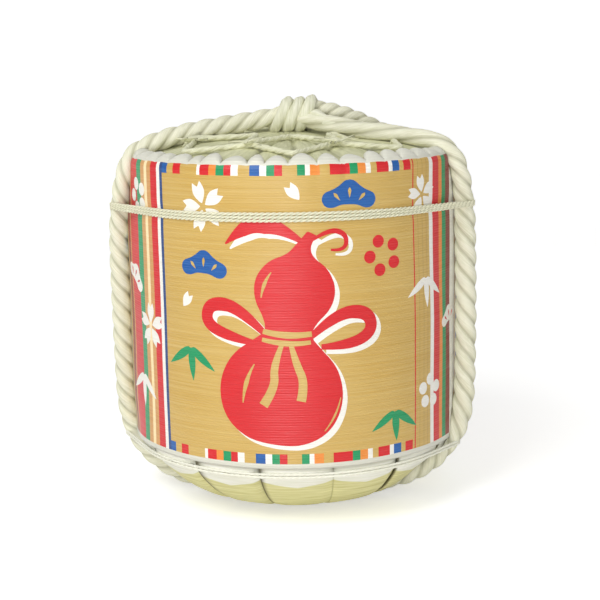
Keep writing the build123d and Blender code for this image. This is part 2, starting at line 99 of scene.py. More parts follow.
# %% Helpers for finishes
def add_node(tree, kind, sockets=None, **settings):
    """Add a node, set its options, and link or set its sockets."""
    made = tree.nodes.new(kind)
    for key, value in settings.items():
        setattr(made, key, value)
    for key, value in (sockets or {}).items():
        if isinstance(value, bpy.types.NodeSocket):
            tree.links.new(value, made.inputs[key])
        else:
            made.inputs[key].default_value = value
    return made


def colour(red, green, blue):
    """A colour as seen on screen, 0 to 255, in the linear form that shaders use."""
    shares = [value / 255 for value in (red, green, blue)]
    linear = [s / 12.92 if s <= 0.04045 else ((s + 0.055) / 1.055) ** 2.4 for s in shares]
    return (*linear, 1.0)


def start_group(name, inputs, outputs):
    """A new node group with named sockets, and the nodes at its two ends."""
    group = bpy.data.node_groups.new(name, "ShaderNodeTree")
    for label, kind, value in inputs:
        socket = group.interface.new_socket(label, in_out="INPUT", socket_type=kind)
        socket.default_value = value
    for label in outputs:
        group.interface.new_socket(label, in_out="OUTPUT", socket_type="NodeSocketFloat")
    return group, add_node(group, "NodeGroupInput").outputs, add_node(group, "NodeGroupOutput").inputs


def start_finish(name, roughness, **sockets):
    """A new material with only its shader, and that shader."""
    finish = bpy.data.materials.new(name)
    finish.use_nodes = True
    shader = finish.node_tree.nodes["Principled BSDF"]
    shader.inputs["Roughness"].default_value = roughness
    for key, value in sockets.items():
        shader.inputs[key.replace("_", " ")].default_value = value
    return finish, finish.node_tree, shader


# %% Helpers for groups, values and tones
def fill_group(tree, group, sockets):
    """Add the group's node, link or set its sockets, and give what it puts out."""
    return add_node(tree, "ShaderNodeGroup", node_tree=group, sockets=sockets).outputs


def reckon(tree, operation, *values):
    """Work out one value from others."""
    return add_node(tree, "ShaderNodeMath", dict(enumerate(values)), operation=operation).outputs[0]


def blend_colours(tree, share, first, second):
    """Mix two colours by a share that changes over the surface."""
    return add_node(tree, "ShaderNodeMix", {0: share, 6: first, 7: second}, data_type="RGBA").outputs[2]


def remap(tree, value, low, high, to_low=0.0, to_high=1.0):
    """Stretch a value's range, and hold it at the ends."""
    sockets = {"Value": value, "From Min": low, "From Max": high, "To Min": to_low, "To Max": to_high}
    return add_node(tree, "ShaderNodeMapRange", sockets).outputs[0]


def dress_shader(tree, shader, tone, fine, roughness, height, depth):
    """Feed a shader its colour, a roughness that fine streaks vary, and bumps of a depth in mm."""
    tree.links.new(tone, shader.inputs["Base Color"])
    tree.links.new(remap(tree, fine, 0.3, 0.7, *roughness), shader.inputs["Roughness"])
    bump = add_node(tree, "ShaderNodeBump", {"Height": height, "Strength": 1.0, "Distance": depth * MM})
    tree.links.new(bump.outputs[0], shader.inputs["Normal"])


# %% [markdown]
# Fibres, straws and wood grain are all noise that is drawn out in one direction. One group makes
# such streaks, coarse and fine, from a place and a fineness for each direction. A second group
# gives broad, soft patches, as dust and age do. A third makes the ribs of the woven sheet.

# %% Shared effects
streaks, streak_in, streak_out = start_group(
    "streaks",
    [("Place", "NodeSocketVector", (0, 0, 0)), ("Fineness", "NodeSocketVector", (1, 1, 1))],
    ["Coarse", "Fine"],
)
drawn_out = add_node(
    streaks, "ShaderNodeVectorMath", {0: streak_in["Place"], 1: streak_in["Fineness"]}, operation="MULTIPLY"
)
for label, scale, detail in (("Coarse", 1.0, 3.0), ("Fine", 3.1, 2.0)):
    grain = add_node(streaks, "ShaderNodeTexNoise", {"Scale": scale, "Detail": detail, "Roughness": 0.6})
    streaks.links.new(drawn_out.outputs[0], grain.inputs["Vector"])
    streaks.links.new(grain.outputs[0], streak_out[label])

patches, patch_in, patch_out = start_group(
    "patches",
    [("Place", "NodeSocketVector", (0, 0, 0)), ("Scale", "NodeSocketFloat", 12.0)],
    ["Patch"],
)
cloud = add_node(
    patches, "ShaderNodeTexNoise", {"Vector": patch_in["Place"], "Scale": patch_in["Scale"], "Detail": 2.0}
)
patches.links.new(remap(patches, cloud.outputs[0], 0.3, 0.7), patch_out["Patch"])

ribs, rib_in, rib_out = start_group(
    "ribs",
    [("Place", "NodeSocketVector", (0, 0, 0)), ("Pitch", "NodeSocketFloat", 0.0024)],
    ["Rib", "Broad"],
)
rib_height = add_node(ribs, "ShaderNodeSeparateXYZ", {0: rib_in["Place"]}).outputs[2]
for label, slower in (("Rib", 1.0), ("Broad", 3.0)):
    turns = reckon(ribs, "DIVIDE", rib_height, rib_in["Pitch"])
    wave = reckon(ribs, "SINE", reckon(ribs, "MULTIPLY", turns, math.tau / slower))
    ribs.links.new(remap(ribs, wave, -1.0, 1.0), rib_out[label])
print("node groups:", [group.name for group in bpy.data.node_groups])

# %% [markdown]
# The wrap is a sheet woven from flat straws and printed in inks. Every ink lies on the same ribs,
# so one function makes them all: the ink's colour, a little paler along the straws' backs, with a
# soft sheen that the ribs break up.

# %% Printed inks
RIB_PITCH, RIB_DEPTH = 2.4, 0.16
LEVEL_STREAKS = (6.0, 6.0, 760.0)


def printed_ink(name, tint, pale, streak):
    """An ink on the ribbed sheet, drawn towards its pale tone along fine level streaks."""
    finish, tree, shader = start_finish(name, 0.4, Specular_IOR_Level=0.5)
    place = add_node(tree, "ShaderNodeTexCoord").outputs["Object"]
    lines = fill_group(tree, streaks, {"Place": place, "Fineness": LEVEL_STREAKS})
    weave = fill_group(tree, ribs, {"Place": place, "Pitch": RIB_PITCH * MM})
    cloudy = fill_group(tree, patches, {"Place": place, "Scale": 9.0})
    paler = remap(tree, lines["Coarse"], 0.42, 0.72, 0.0, streak)
    tone = blend_colours(tree, paler, tint, pale)
    worn = remap(tree, cloudy["Patch"], 0.0, 1.0, 0.0, streak * 0.6)
    tone = blend_colours(tree, worn, tone, pale)
    height = reckon(tree, "ADD", reckon(tree, "ADD", weave["Rib"], lines["Fine"]), weave["Broad"])
    dress_shader(tree, shader, tone, lines["Fine"], (0.28, 0.44), height, RIB_DEPTH)
    return finish


INK_TONES = {
    "gold": ((196, 158, 76), (216, 189, 120), 0.6),
    "red": ((206, 18, 28), (220, 48, 52), 0.4),
    "blue": ((12, 80, 154), (46, 118, 188), 0.4),
    "navy": ((22, 56, 116), (60, 98, 150), 0.4),
    "green": ((6, 140, 84), (40, 168, 112), 0.4),
    "orange": ((230, 130, 42), (240, 164, 88), 0.5),
    "tan": ((204, 146, 78), (222, 176, 114), 0.5),
    "cream": ((248, 222, 164), (252, 236, 200), 0.5),
    "ochre": ((180, 146, 72), (200, 168, 98), 0.5),
    "brown": ((132, 38, 38), (160, 66, 60), 0.4),
    "margin": ((212, 211, 196), (228, 227, 214), 0.5),
    "white": ((238, 235, 226), (247, 245, 238), 0.5),
}
INKS = {
    ink: printed_ink(f"{ink}_ink", colour(*tint), colour(*pale), streak)
    for ink, (tint, pale, streak) in INK_TONES.items()
}
print("inks:", sorted(INKS))

# %% [markdown]
# Rope, cord and straw are plant fibre. Their meshes carry a place for each point on a straightened
# copy of the piece, so that the fibres follow the lay of a rope or the run of a mat and never
# swim through it. Deep places between strands, and the creases that the mesh marks, get a painted shade.


# %% Fibre finishes
def fibre_finish(name, pale, deep, shade, fineness, depth, groove=None):
    """Plant fibre: streaks from pale to deep, with shade in creases and in a groove between two radii."""
    pale, deep, shade = colour(*pale), colour(*deep), colour(*shade)
    finish, tree, shader = start_finish(name, 0.78, Specular_IOR_Level=0.25)
    lay_place = add_node(tree, "ShaderNodeAttribute", attribute_name="lay_place").outputs["Vector"]
    crease_shade = add_node(tree, "ShaderNodeAttribute", attribute_name="crease_shade").outputs["Fac"]
    lines = fill_group(tree, streaks, {"Place": lay_place, "Fineness": fineness})
    place = add_node(tree, "ShaderNodeTexCoord").outputs["Object"]
    cloudy = fill_group(tree, patches, {"Place": place, "Scale": 16.0})
    tone = blend_colours(tree, remap(tree, lines["Coarse"], 0.36, 0.68), pale, deep)
    tone = blend_colours(tree, remap(tree, cloudy["Patch"], 0.0, 1.0, 0.0, 0.35), tone, pale)
    # Painted shade in the groove between strands, and in the creases that the mesh marks.
    if groove:
        flat = add_node(tree, "ShaderNodeVectorMath", {0: lay_place, 1: (1, 1, 0)}, operation="MULTIPLY")
        reach = add_node(tree, "ShaderNodeVectorMath", {0: flat.outputs[0]}, operation="LENGTH")
        groove_shade = remap(tree, reach.outputs["Value"], groove[0] * MM, groove[1] * MM, 0.85, 0.0)
        tone = blend_colours(tree, groove_shade, tone, shade)
    tone = blend_colours(tree, remap(tree, crease_shade, 0.1, 1.0, 0.0, 0.9), tone, shade)
    height = reckon(tree, "ADD", lines["Coarse"], lines["Fine"])
    dress_shader(tree, shader, tone, lines["Fine"], (0.7, 0.9), height, depth)
    return finish


ROPE_GROOVE_SHADE, LACE_GROOVE_SHADE, CORD_GROOVE_SHADE = (6.9, 9.6), (1.2, 2.3), (0.7, 1.35)
AS_PLACED = (1.0, 1.0, 1.0)
rope_fibre = fibre_finish(
    "rope_fibre", (248, 246, 225), (222, 221, 188), (146, 142, 102),
    fineness=(900, 900, 70), depth=0.5, groove=ROPE_GROOVE_SHADE,
)
strand_fibre = fibre_finish(
    "strand_fibre", (244, 243, 222), (212, 213, 180), (150, 148, 112), fineness=(800, 800, 60), depth=0.5
)
lace_fibre = fibre_finish(
    "lace_fibre", (246, 245, 216), (212, 213, 174), (140, 138, 100),
    fineness=(1300, 1300, 60), depth=0.4, groove=LACE_GROOVE_SHADE,
)
pale_fibre = fibre_finish(
    "pale_fibre", (248, 247, 234), (230, 229, 206), (206, 204, 176), fineness=(2600, 2600, 200), depth=0.2
)
cord_fibre = fibre_finish(
    "cord_fibre", (240, 238, 214), (216, 213, 180), (176, 172, 136),
    fineness=(2600, 2600, 260), depth=0.2, groove=CORD_GROOVE_SHADE,
)
top_straw = fibre_finish(
    "top_straw", (222, 222, 185), (188, 189, 146), (92, 92, 62), fineness=AS_PLACED, depth=0.5
)
pad_straw = fibre_finish(
    "pad_straw", (222, 206, 146), (178, 156, 96), (110, 96, 60), fineness=AS_PLACED, depth=0.6
)
print("finishes so far:", [finish.name for finish in bpy.data.materials])

# %% [markdown]
# The pleated base is straw with a white coat on its upper part. The mesh carries how much coat
# each point has, and the shader lets the straw show through where the coat thins out.


# %% Coated straw
def coated_finish(name):
    """Level straw, covered with a white coat where the mesh says so, with painted shade in its creases."""
    finish, tree, shader = start_finish(name, 0.7, Specular_IOR_Level=0.3)
    lay_place = add_node(tree, "ShaderNodeAttribute", attribute_name="lay_place").outputs["Vector"]
    coat = add_node(tree, "ShaderNodeAttribute", attribute_name="coat").outputs["Fac"]
    crease_shade = add_node(tree, "ShaderNodeAttribute", attribute_name="crease_shade").outputs["Fac"]
    lines = fill_group(tree, streaks, {"Place": lay_place, "Fineness": AS_PLACED})
    share = remap(tree, lines["Coarse"], 0.34, 0.68)
    straw = blend_colours(tree, share, colour(232, 227, 172), colour(200, 194, 130))
    white = blend_colours(tree, share, colour(246, 245, 236), colour(226, 226, 206))
    ragged = reckon(tree, "MULTIPLY_ADD", lines["Fine"], 0.22, coat)
    tone = blend_colours(tree, remap(tree, ragged, 0.5, 0.72), straw, white)
    # Painted shade in the creases that the mesh marks.
    painted_shade = remap(tree, crease_shade, 0.15, 0.95, 0.0, 0.9)
    tone = blend_colours(tree, painted_shade, tone, colour(84, 78, 44))
    height = reckon(tree, "ADD", lines["Coarse"], lines["Fine"])
    dress_shader(tree, shader, tone, lines["Fine"], (0.6, 0.85), height, 0.35)
    return finish


coated_straw = coated_finish("coated_straw")
print("coated finish made:", coated_straw.name)

# %% [markdown]
# Cedar and split bamboo are hidden by the wrap, and still get their own grain: it runs up the
# staves, along the boards, and round the hoops.


# %% Wood finishes
def grain_finish(name, pale, deep, fineness, roughness):
    """Planed wood: long streaks between two tones, with fine pores."""
    finish, tree, shader = start_finish(name, roughness, Specular_IOR_Level=0.35)
    place = add_node(tree, "ShaderNodeTexCoord").outputs["Object"]
    lines = fill_group(tree, streaks, {"Place": place, "Fineness": fineness})
    cloudy = fill_group(tree, patches, {"Place": place, "Scale": 7.0})
    tone = blend_colours(tree, remap(tree, lines["Coarse"], 0.35, 0.66), pale, deep)
    tone = blend_colours(tree, remap(tree, cloudy["Patch"], 0.0, 1.0, 0.0, 0.3), tone, pale)
    varied = (roughness - 0.1, roughness + 0.1)
    dress_shader(tree, shader, tone, lines["Fine"], varied, lines["Fine"], 0.15)
    return finish


CEDAR = colour(222, 178, 128), colour(186, 130, 82)
BAMBOO = colour(212, 204, 140), colour(178, 166, 98)
stave_cedar = grain_finish("stave_cedar", *CEDAR, fineness=(260, 260, 7), roughness=0.6)
board_cedar = grain_finish("board_cedar", *CEDAR, fineness=(260, 7, 260), roughness=0.6)
bung_cedar = grain_finish("bung_cedar", *CEDAR, fineness=(320, 320, 12), roughness=0.6)
hoop_bamboo = grain_finish("hoop_bamboo", *BAMBOO, fineness=(10, 10, 500), roughness=0.5)
peg_bamboo = grain_finish("peg_bamboo", *BAMBOO, fineness=(14, 600, 600), roughness=0.5)
print("finishes so far:", len(bpy.data.materials))

# %% Dress the wooden nodes
node_finishes = {
    "stave": (stave_cedar, "cedar"),
    "lid_board": (board_cedar, "cedar"),
    "bottom_board": (board_cedar, "cedar"),
    "bung": (bung_cedar, "cedar"),
    "mouth_hoop": (hoop_bamboo, "bamboo"),
    "waist_hoop": (hoop_bamboo, "bamboo"),
    "foot_hoop": (hoop_bamboo, "bamboo"),
    "lid_pegs": (peg_bamboo, "bamboo"),
    "bottom_pegs": (peg_bamboo, "bamboo"),
}
dressed = 0
for node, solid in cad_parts.items():
    for start, (finish, slot) in node_finishes.items():
        if node.startswith(start):
            solid.data.materials.clear()
            solid.data.materials.append(finish)
            dressed += 1
print("wooden nodes dressed:", dressed)

# %% [markdown]
# Most pieces are a net of points with four-sided faces. These helpers number such a net, put it
# into a mesh, and keep the place of each point for the finishes.


# %% Helpers for meshes
def around(radius, turn, height):
    """Points at a radius and height, turned in degrees from the front (-Y) towards +X."""
    radius, turn, height = np.broadcast_arrays(radius, np.radians(turn), height)
    return np.stack([radius * np.sin(turn), -radius * np.cos(turn), height], axis=-1)


def net_faces(rows, columns, ring_rows=False, ring_columns=False):
    """Four-sided faces of a net that is numbered row by row, closed where it is a ring."""
    row = np.arange(rows if ring_rows else rows - 1)[:, None]
    column = np.arange(columns if ring_columns else columns - 1)[None, :]
    next_row, next_column = (row + 1) % rows, (column + 1) % columns
    corners = [
        row * columns + column,
        row * columns + next_column,
        next_row * columns + next_column,
        next_row * columns + column,
    ]
    return np.stack(np.broadcast_arrays(*corners), axis=-1).reshape(-1, 4)


def closed_net(net):
    """Faces of a net of points whose rows and columns are both rings."""
    return net_faces(*net.shape[:2], ring_rows=True, ring_columns=True)


def add_piece(name, points, faces, finishes, stands_for=(), face_finish=None, marks=None, crisp=False):
    """A closed mesh from points in millimetres, which rides on the cask."""
    mesh = bpy.data.meshes.new(name)
    mesh.from_pydata((np.asarray(points).reshape(-1, 3) * MM).tolist(), [], [list(f) for f in faces])
    for finish in finishes:
        mesh.materials.append(finish)
    if face_finish is not None:
        mesh.polygons.foreach_set("material_index", np.asarray(face_finish, np.int32))
    for label, values in (marks or {}).items():
        values = np.asarray(values, np.float32)
        kind, key = ("FLOAT", "value") if values.ndim == 1 else ("FLOAT_VECTOR", "vector")
        mesh.attributes.new(label, kind, "POINT").data.foreach_set(key, values.ravel())
    shape = bmesh.new()
    shape.from_mesh(mesh)
    bmesh.ops.remove_doubles(shape, verts=shape.verts, dist=1e-6)
    bmesh.ops.recalc_face_normals(shape, faces=shape.faces)
    for face in shape.faces:
        face.smooth = True
    shape.to_mesh(mesh)
    shape.free()
    if crisp:
        mesh.set_sharp_from_angle(angle=math.radians(40))
    piece = bpy.data.objects.new(name, mesh)
    bpy.context.scene.collection.objects.link(piece)
    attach(piece, "root")
    if stands_for:
        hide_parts(*stands_for)
    print(f"{name}: {len(mesh.vertices)} points, {len(mesh.polygons)} faces")
    return piece


# %% [markdown]
# Ropes, cords and outlines start as a few points along their way. A NURBS spline makes a smooth line
# of them, and these helpers measure that line and read it at even steps.


# %% Helpers for lines
def run_along(line):
    """How far along a line each of its points lies."""
    return np.concatenate([[0], np.cumsum(np.linalg.norm(np.diff(line, axis=0), axis=1))])


def unit(vectors):
    """The same directions, each of length one."""
    return vectors / np.linalg.norm(vectors, axis=1, keepdims=True)


def spaced(line, step):
    """Points along a line again, about one step apart."""
    along = run_along(line)
    at = np.linspace(0, along[-1], max(2, math.ceil(along[-1] / step) + 1))
    return np.stack([np.interp(at, along, line[:, axis]) for axis in range(3)], axis=1)


def smooth_line(points, step, closed=False):
    """Points read at even steps from a smooth NURBS spline that a few points steer."""
    curve = bpy.data.curves.new("route", "CURVE")
    curve.dimensions = "3D"
    curve.resolution_u = 16
    spline = curve.splines.new("NURBS")
    spline.points.add(len(points) - 1)
    for knot, place in zip(spline.points, points):
        knot.co = (*place, 1)
    spline.order_u = 3
    spline.use_endpoint_u = not closed
    spline.use_cyclic_u = closed
    holder = bpy.data.objects.new("route", curve)
    mesh = bpy.data.meshes.new_from_object(holder)
    line = np.array([vertex.co for vertex in mesh.vertices])
    bpy.data.objects.remove(holder)
    bpy.data.curves.remove(curve)
    bpy.data.meshes.remove(mesh)
    return spaced(np.vstack([line, line[:1]]) if closed else line, step)


# %% [markdown]
# A laid rope is strands that wind round each other. Seen from outside, its section is one round
# lobe for each strand, with a deep groove between them, and the section turns as it goes along.
# Sweeping that lobed section gives the whole rope as one clean, closed mesh.


# %% Laid rope
def lobed_section(strands, sides, strand_share):
    """Radii of a laid section, as shares of the whole, at even angles round it."""
    angles = np.arange(sides) * math.tau / sides
    half = math.pi / strands
    off = (angles + half) % (2 * half) - half
    centre = 1 - strand_share
    inside = np.maximum(strand_share**2 - (centre * np.sin(off)) ** 2, 0)
    return angles, centre * np.cos(off) + np.sqrt(inside)


def carried_frames(line):
    """Two directions across a line at each point, carried along it without twist."""
    tangents = unit(np.gradient(line, axis=0))
    seed = np.eye(3)[np.argmin(np.abs(tangents[0]))]
    normals = np.empty_like(line)
    normal = seed - tangents[0] * (seed @ tangents[0])
    for index, tangent in enumerate(tangents):
        normal = normal - tangent * (normal @ tangent)
        normal = normal / np.linalg.norm(normal)
        normals[index] = normal
    return normals, np.cross(tangents, normals)


# %% Sweep of a laid rope
def laid_tube(line, diameter, strands, lay, sides, strand_share, swell=None):
    """Points, faces and straightened places of a rope whose strands turn once in each lay."""
    angles, shares = lobed_section(strands, sides, strand_share)
    along = run_along(line)
    swell = np.ones(len(line)) if swell is None else swell
    radii = diameter / 2 * shares[None, :] * swell[:, None]
    spin = np.cumsum(np.gradient(along) / lay) * math.tau
    twisted = angles[None, :] + spin[:, None]
    first, second = carried_frames(line)
    points = (
        line[:, None, :]
        + (radii * np.cos(twisted))[..., None] * first[:, None, :]
        + (radii * np.sin(twisted))[..., None] * second[:, None, :]
    )
    places = np.stack(
        np.broadcast_arrays(radii * np.cos(angles), radii * np.sin(angles), along[:, None]), axis=-1
    )
    faces = net_faces(len(line), sides, ring_columns=True).tolist()
    last = (len(line) - 1) * sides
    faces.append(list(range(sides))[::-1])
    faces.append([last + side for side in range(sides)])
    return points.reshape(-1, 3), faces, places.reshape(-1, 3) * MM


# %% Join, add and draw in the ends
def joined(parts):
    """Several meshes as one: their points, their faces, and their places if they have them."""
    points, faces, *places = zip(*parts)
    starts = np.cumsum([0] + [len(part) for part in points]).tolist()
    shifted = [[corner + start for corner in face] for start, part in zip(starts, faces) for face in part]
    return (np.vstack(points), shifted, *map(np.vstack, places))


def add_laid(name, tube, finish, node):
    """A rope or cord from its tube, with its straightened places, in the place of a node."""
    points, faces, places = tube
    add_piece(name, points, faces, [finish], [node], marks={"lay_place": places})


def rounded_ends(line, reach, least=0.55):
    """A swell for each point of a line that draws its two ends in a little."""
    along = run_along(line)
    inset = np.clip(np.minimum(along, along[-1] - along) / reach, 0, 1)
    return least + (1 - least) * np.sqrt(1 - (1 - inset) ** 2)


# %% [markdown]
# The thick rope starts at its tail on the right, goes through the knot, over the left shoulder,
# down the wall, under the foot and up the right side to the front of the knot. It leans back on
# its way down the left wall. Its points are listed, and a spline draws the smooth line.

# %% Route of the thick rope
SOLE = ROPE / 2
rope_tail = [
    (132.0, 12.0, 367.5), (112.0, 11.0, 370.0), (88.0, 9.5, 379.6), (70.0, 7.0, 388.4),
    (50.0, 4.0, 395.6), (25.0, 1.0, 401.4), (0.0, 0.0, 397.0), (-34.0, -2.0, 391.4),
]
left_side = [
    (-64.0, -9.0, 387.6), (-105.0, -24.0, 381.8), (-133.0, -35.0, 374.8), (-152.0, -42.0, 367.6),
    (-164.0, -46.0, 358.0), (-169.5, -46.0, 344.0), (-176.0, -37.0, 316.0), (-180.2, -26.0, 268.0),
    (-181.6, -15.0, 200.0), (-182.2, -6.0, 130.0), (-181.6, -2.0, 96.0), (-177.2, -2.0, 67.0),
    (-164.4, -6.0, 45.4), (-139.4, -12.0, 24.8), (-112.0, -14.0, 13.0), (-85.0, -17.0, SOLE),
]
right_side = [
    (80.0, -36.0, SOLE + 2), (104.0, -44.5, 18.5), (126.0, -55.5, 30.0), (146.0, -59.5, 47.0),
    (161.4, -61.5, 67.0), (169.8, -62.5, 92.0), (172.6, -61.5, 124.0), (173.2, -61.0, 200.0),
    (171.8, -62.5, 290.0), (169.0, -65.5, 322.0), (165.6, -69.0, 343.0), (159.0, -70.0, 357.5),
    (148.0, -66.0, 369.0), (126.0, -58.0, 375.4), (100.0, -49.0, 378.0), (70.0, -38.0, 381.8),
    (45.0, -28.0, 386.0), (26.0, -19.0, 389.8), (10.0, -9.0, 393.4), (-8.0, 0.0, 396.0),
]
rope_line = smooth_line([*rope_tail, *left_side, (0.0, -30.0, SOLE), *right_side], 2.6)
ROPE_STEPS = len(rope_line)
print(f"thick rope: {run_along(rope_line)[-1]:.0f} mm along its line")

# %% [markdown]
# A rope is not equally thick or equally twisted everywhere. It is drawn thin over the shoulders
# and the heels, the waist cord squeezes it, the tail is worn, and the front end has lost most of
# its twist. Where it lies tight, it presses a groove into the soft mats and the sheet.

# %% Swell and twist of the thick rope
TOP_LEVEL, HEEL_LEVEL, BESIDE_WALL = 366.0, 40.0, 140.0
FRONT_SWELL, TOP_SWELL, WALL_SWELL, SOLE_SWELL = 0.86, 0.97, 1.06, 1.0
SQUEEZES = ((346.0, 20.0, 0.19), (311.0, 6.0, 0.17), (61.0, 12.0, 0.14))
TAIL_LEFT, TAIL_WEAR, WEAR_START, WEAR_RUN = 20.0, 0.2, 40.0, 90.0
FRONT_LAY, TAIL_LAY, WALL_LAY = -150.0, -44.0, -60.0


def ramp(value, start, span):
    """From 0 at the start to 1 a span further on, and level outside."""
    return np.clip((value - start) / span, 0, 1)


def bell(value, middle, width):
    """A soft hump that is 1 at its middle."""
    return np.exp(-(((value - middle) / width) ** 2))


def evened(values):
    """Each value replaced by the mean of nine neighbours."""
    return np.convolve(np.pad(values, 4, mode="edge"), np.ones(9) / 9, mode="valid")


x, _, z = rope_line.T
beside = np.abs(x) > BESIDE_WALL
on_top = z > TOP_LEVEL
at_front = on_top & (np.arange(ROPE_STEPS) > ROPE_STEPS // 2)
in_tail = on_top & (x > TAIL_LEFT) & ~at_front
rope_swell = np.where(on_top, TOP_SWELL, np.where(z < HEEL_LEVEL, SOLE_SWELL, WALL_SWELL))
rope_swell = np.where(at_front, FRONT_SWELL, rope_swell)
for height, reach, squeeze in SQUEEZES:
    rope_swell = rope_swell - beside * squeeze * bell(z, height, reach)
rope_swell = evened(rope_swell - in_tail * TAIL_WEAR * ramp(x, WEAR_START, WEAR_RUN))
rope_lay = evened(np.where(at_front, FRONT_LAY, np.where(in_tail, TAIL_LAY, WALL_LAY)))
print(f"rope swell: {rope_swell.min():.2f} to {rope_swell.max():.2f}")

# %% Groove of the thick rope
ROPE_CENTRE = (0.0, -20.0, 215.0)
GROOVE_PLAY, GROOVE_REACH, END_REACH = 0.3, 24.0, 4.0
rope_along = unit(np.gradient(rope_line, axis=0))
rope_inward = np.array(ROPE_CENTRE) - rope_line
rope_inward = unit(rope_inward - rope_along * (rope_inward * rope_along).sum(axis=1, keepdims=True))
rope_tree = KDTree(ROPE_STEPS)
for index, place in enumerate(rope_line):
    rope_tree.insert(place, index)
rope_tree.balance()


def pressed_by_rope(points, clear=GROOVE_PLAY, outside=GROOVE_REACH):
    """The points again, those in the rope's way pushed to its inner side: a tight rope's groove."""
    moved = np.array(points, float)
    flat = moved.reshape(-1, 3)
    for index, point in enumerate(flat):
        _, spot, distance = rope_tree.find(point)
        skin = ROPE / 2 * rope_swell[spot] + clear
        if distance > skin + outside:
            continue
        off = point - rope_line[spot]
        beyond = off @ rope_along[spot]
        if abs(beyond) > END_REACH:
            continue
        off = off - rope_along[spot] * beyond
        depth = off @ rope_inward[spot]
        aside = np.linalg.norm(off - rope_inward[spot] * depth)
        wanted = math.sqrt(max(skin**2 - aside**2, 0.0))
        if aside < skin and -outside < depth < wanted:
            flat[index] = point + rope_inward[spot] * (wanted - depth)
    return moved


print("grooves follow", ROPE_STEPS, "points of the rope")

# %% [markdown]
# The printed sheet is a wall with a rounded rim. Its upper margin is drawn over the rim into
# white scallops, which puff up between the stitches of the lacing. The net of the mesh has lines
# along every printed edge, so stripes and border squares are whole faces with crisp outlines.

# %% Pattern of the sheet
STRIPES_LEFT = [
    ("navy", 4.0), ("white", 5.0), ("red", 10.8), ("tan", 7.0), ("cream", 5.6), ("tan", 8.0),
    ("green", 10.8), ("red", 22.3), ("tan", 3.2), ("brown", 9.8), ("gold", 6.0), ("navy", 4.0),
]
STRIPES_RIGHT = [
    ("red", 1.4), ("gold", 5.4), ("ochre", 0.9), ("gold", 5.6), ("ochre", 0.9), ("gold", 5.2),
    ("ochre", 0.9), ("gold", 4.2), ("white", 6.1), ("red", 11.3), ("orange", 6.6), ("green", 8.2),
    ("brown", 10.8), ("white", 16.0), ("gold", 9.7), ("navy", 4.0),
]
SQUARES = [
    ("blue", 8.3), ("gold", 8.5), ("red", 9.4), ("gold", 20.6), ("white", 3.4), ("red", 9.9),
    ("orange", 7.5), ("green", 8.2), ("red", 7.1), ("white", 6.9), ("gold", 11.5), ("blue", 9.5),
    ("white", 6.5), ("green", 7.4), ("red", 7.3), ("gold", 13.8), ("green", 7.3), ("white", 4.6),
    ("orange", 9.2), ("gold", 9.4), ("red", 19.2), ("green", 7.9), ("orange", 8.1), ("white", 5.2),
    ("gold", 6.4), ("red", 13.3), ("white", 4.6), ("blue", 8.4), ("gold", 5.0), ("red", 9.1),
]
PANEL_LEFT, PANEL_RIGHT = -141.2, 123.9
SQUARES_START = -142.0
HALF_ROUND = math.pi * WALL
BORDER_HEIGHT = 9.8
BORDER_LOW = WRAP_FOOT + 7.4
SHEET_FOOT = WRAP_FOOT + 2.2
BORDER_TOP = WRAP_TOP - 4.6
print(f"printed border: {BORDER_HEIGHT} mm high, {len(SQUARES)} squares to a run")


# %% Bands of ink round the sheet
def laid_out(sequence, start, direction=1):
    """Bands of a sequence of inks and widths as (left, right, ink), from a start to one side."""
    bands = []
    for ink, width in sequence:
        end = start + direction * width
        bands.append((min(start, end), max(start, end), ink))
        start = end
    return bands


stripe_bands = laid_out(STRIPES_LEFT, PANEL_LEFT, -1) + laid_out(STRIPES_RIGHT, PANEL_RIGHT)
square_run = sum(width for _, width in SQUARES)
back_right = max(band[1] for band in stripe_bands)
back_left = 2 * HALF_ROUND + min(band[0] for band in stripe_bands)
back_gap = (back_left - back_right - 2 * square_run) / 3
square_bands = laid_out(SQUARES, SQUARES_START)
for repeat in range(2):
    start = back_right + back_gap + repeat * (square_run + back_gap)
    square_bands += laid_out(SQUARES, start)


def wrapped(bands):
    """The bands with every place measured from the front, left to right, cut at the back."""
    found = []
    for left, right, ink in bands:
        for shift in (0, -2 * HALF_ROUND):
            low, high = max(left + shift, -HALF_ROUND), min(right + shift, HALF_ROUND)
            if low < high:
                found.append((low, high, ink))
    return found


stripe_bands, square_bands = wrapped(stripe_bands), wrapped(square_bands)
print(f"bands of ink: {len(stripe_bands)} stripes, {len(square_bands)} squares")


def ink_at(across, height):
    """The ink at a place on the sheet, measured round from the front and up from the floor."""
    if height < BORDER_LOW or height > BORDER_TOP:
        return "margin"
    for left, right, ink in stripe_bands:
        if left < across < right:
            return ink
    if height < BORDER_LOW + BORDER_HEIGHT or height > BORDER_TOP - BORDER_HEIGHT:
        for left, right, ink in square_bands:
            if left < across < right:
                return ink
    return "gold"


def filled_in(edges, step):
    """Sorted edges, with even places between those that lie further apart than a step."""
    edges = sorted(set(np.round(edges, 3)))
    places = []
    for low, high in zip(edges, edges[1:]):
        places += list(np.linspace(low, high, max(1, math.ceil((high - low) / step)), endpoint=False))
    return np.array(places + [edges[-1]])


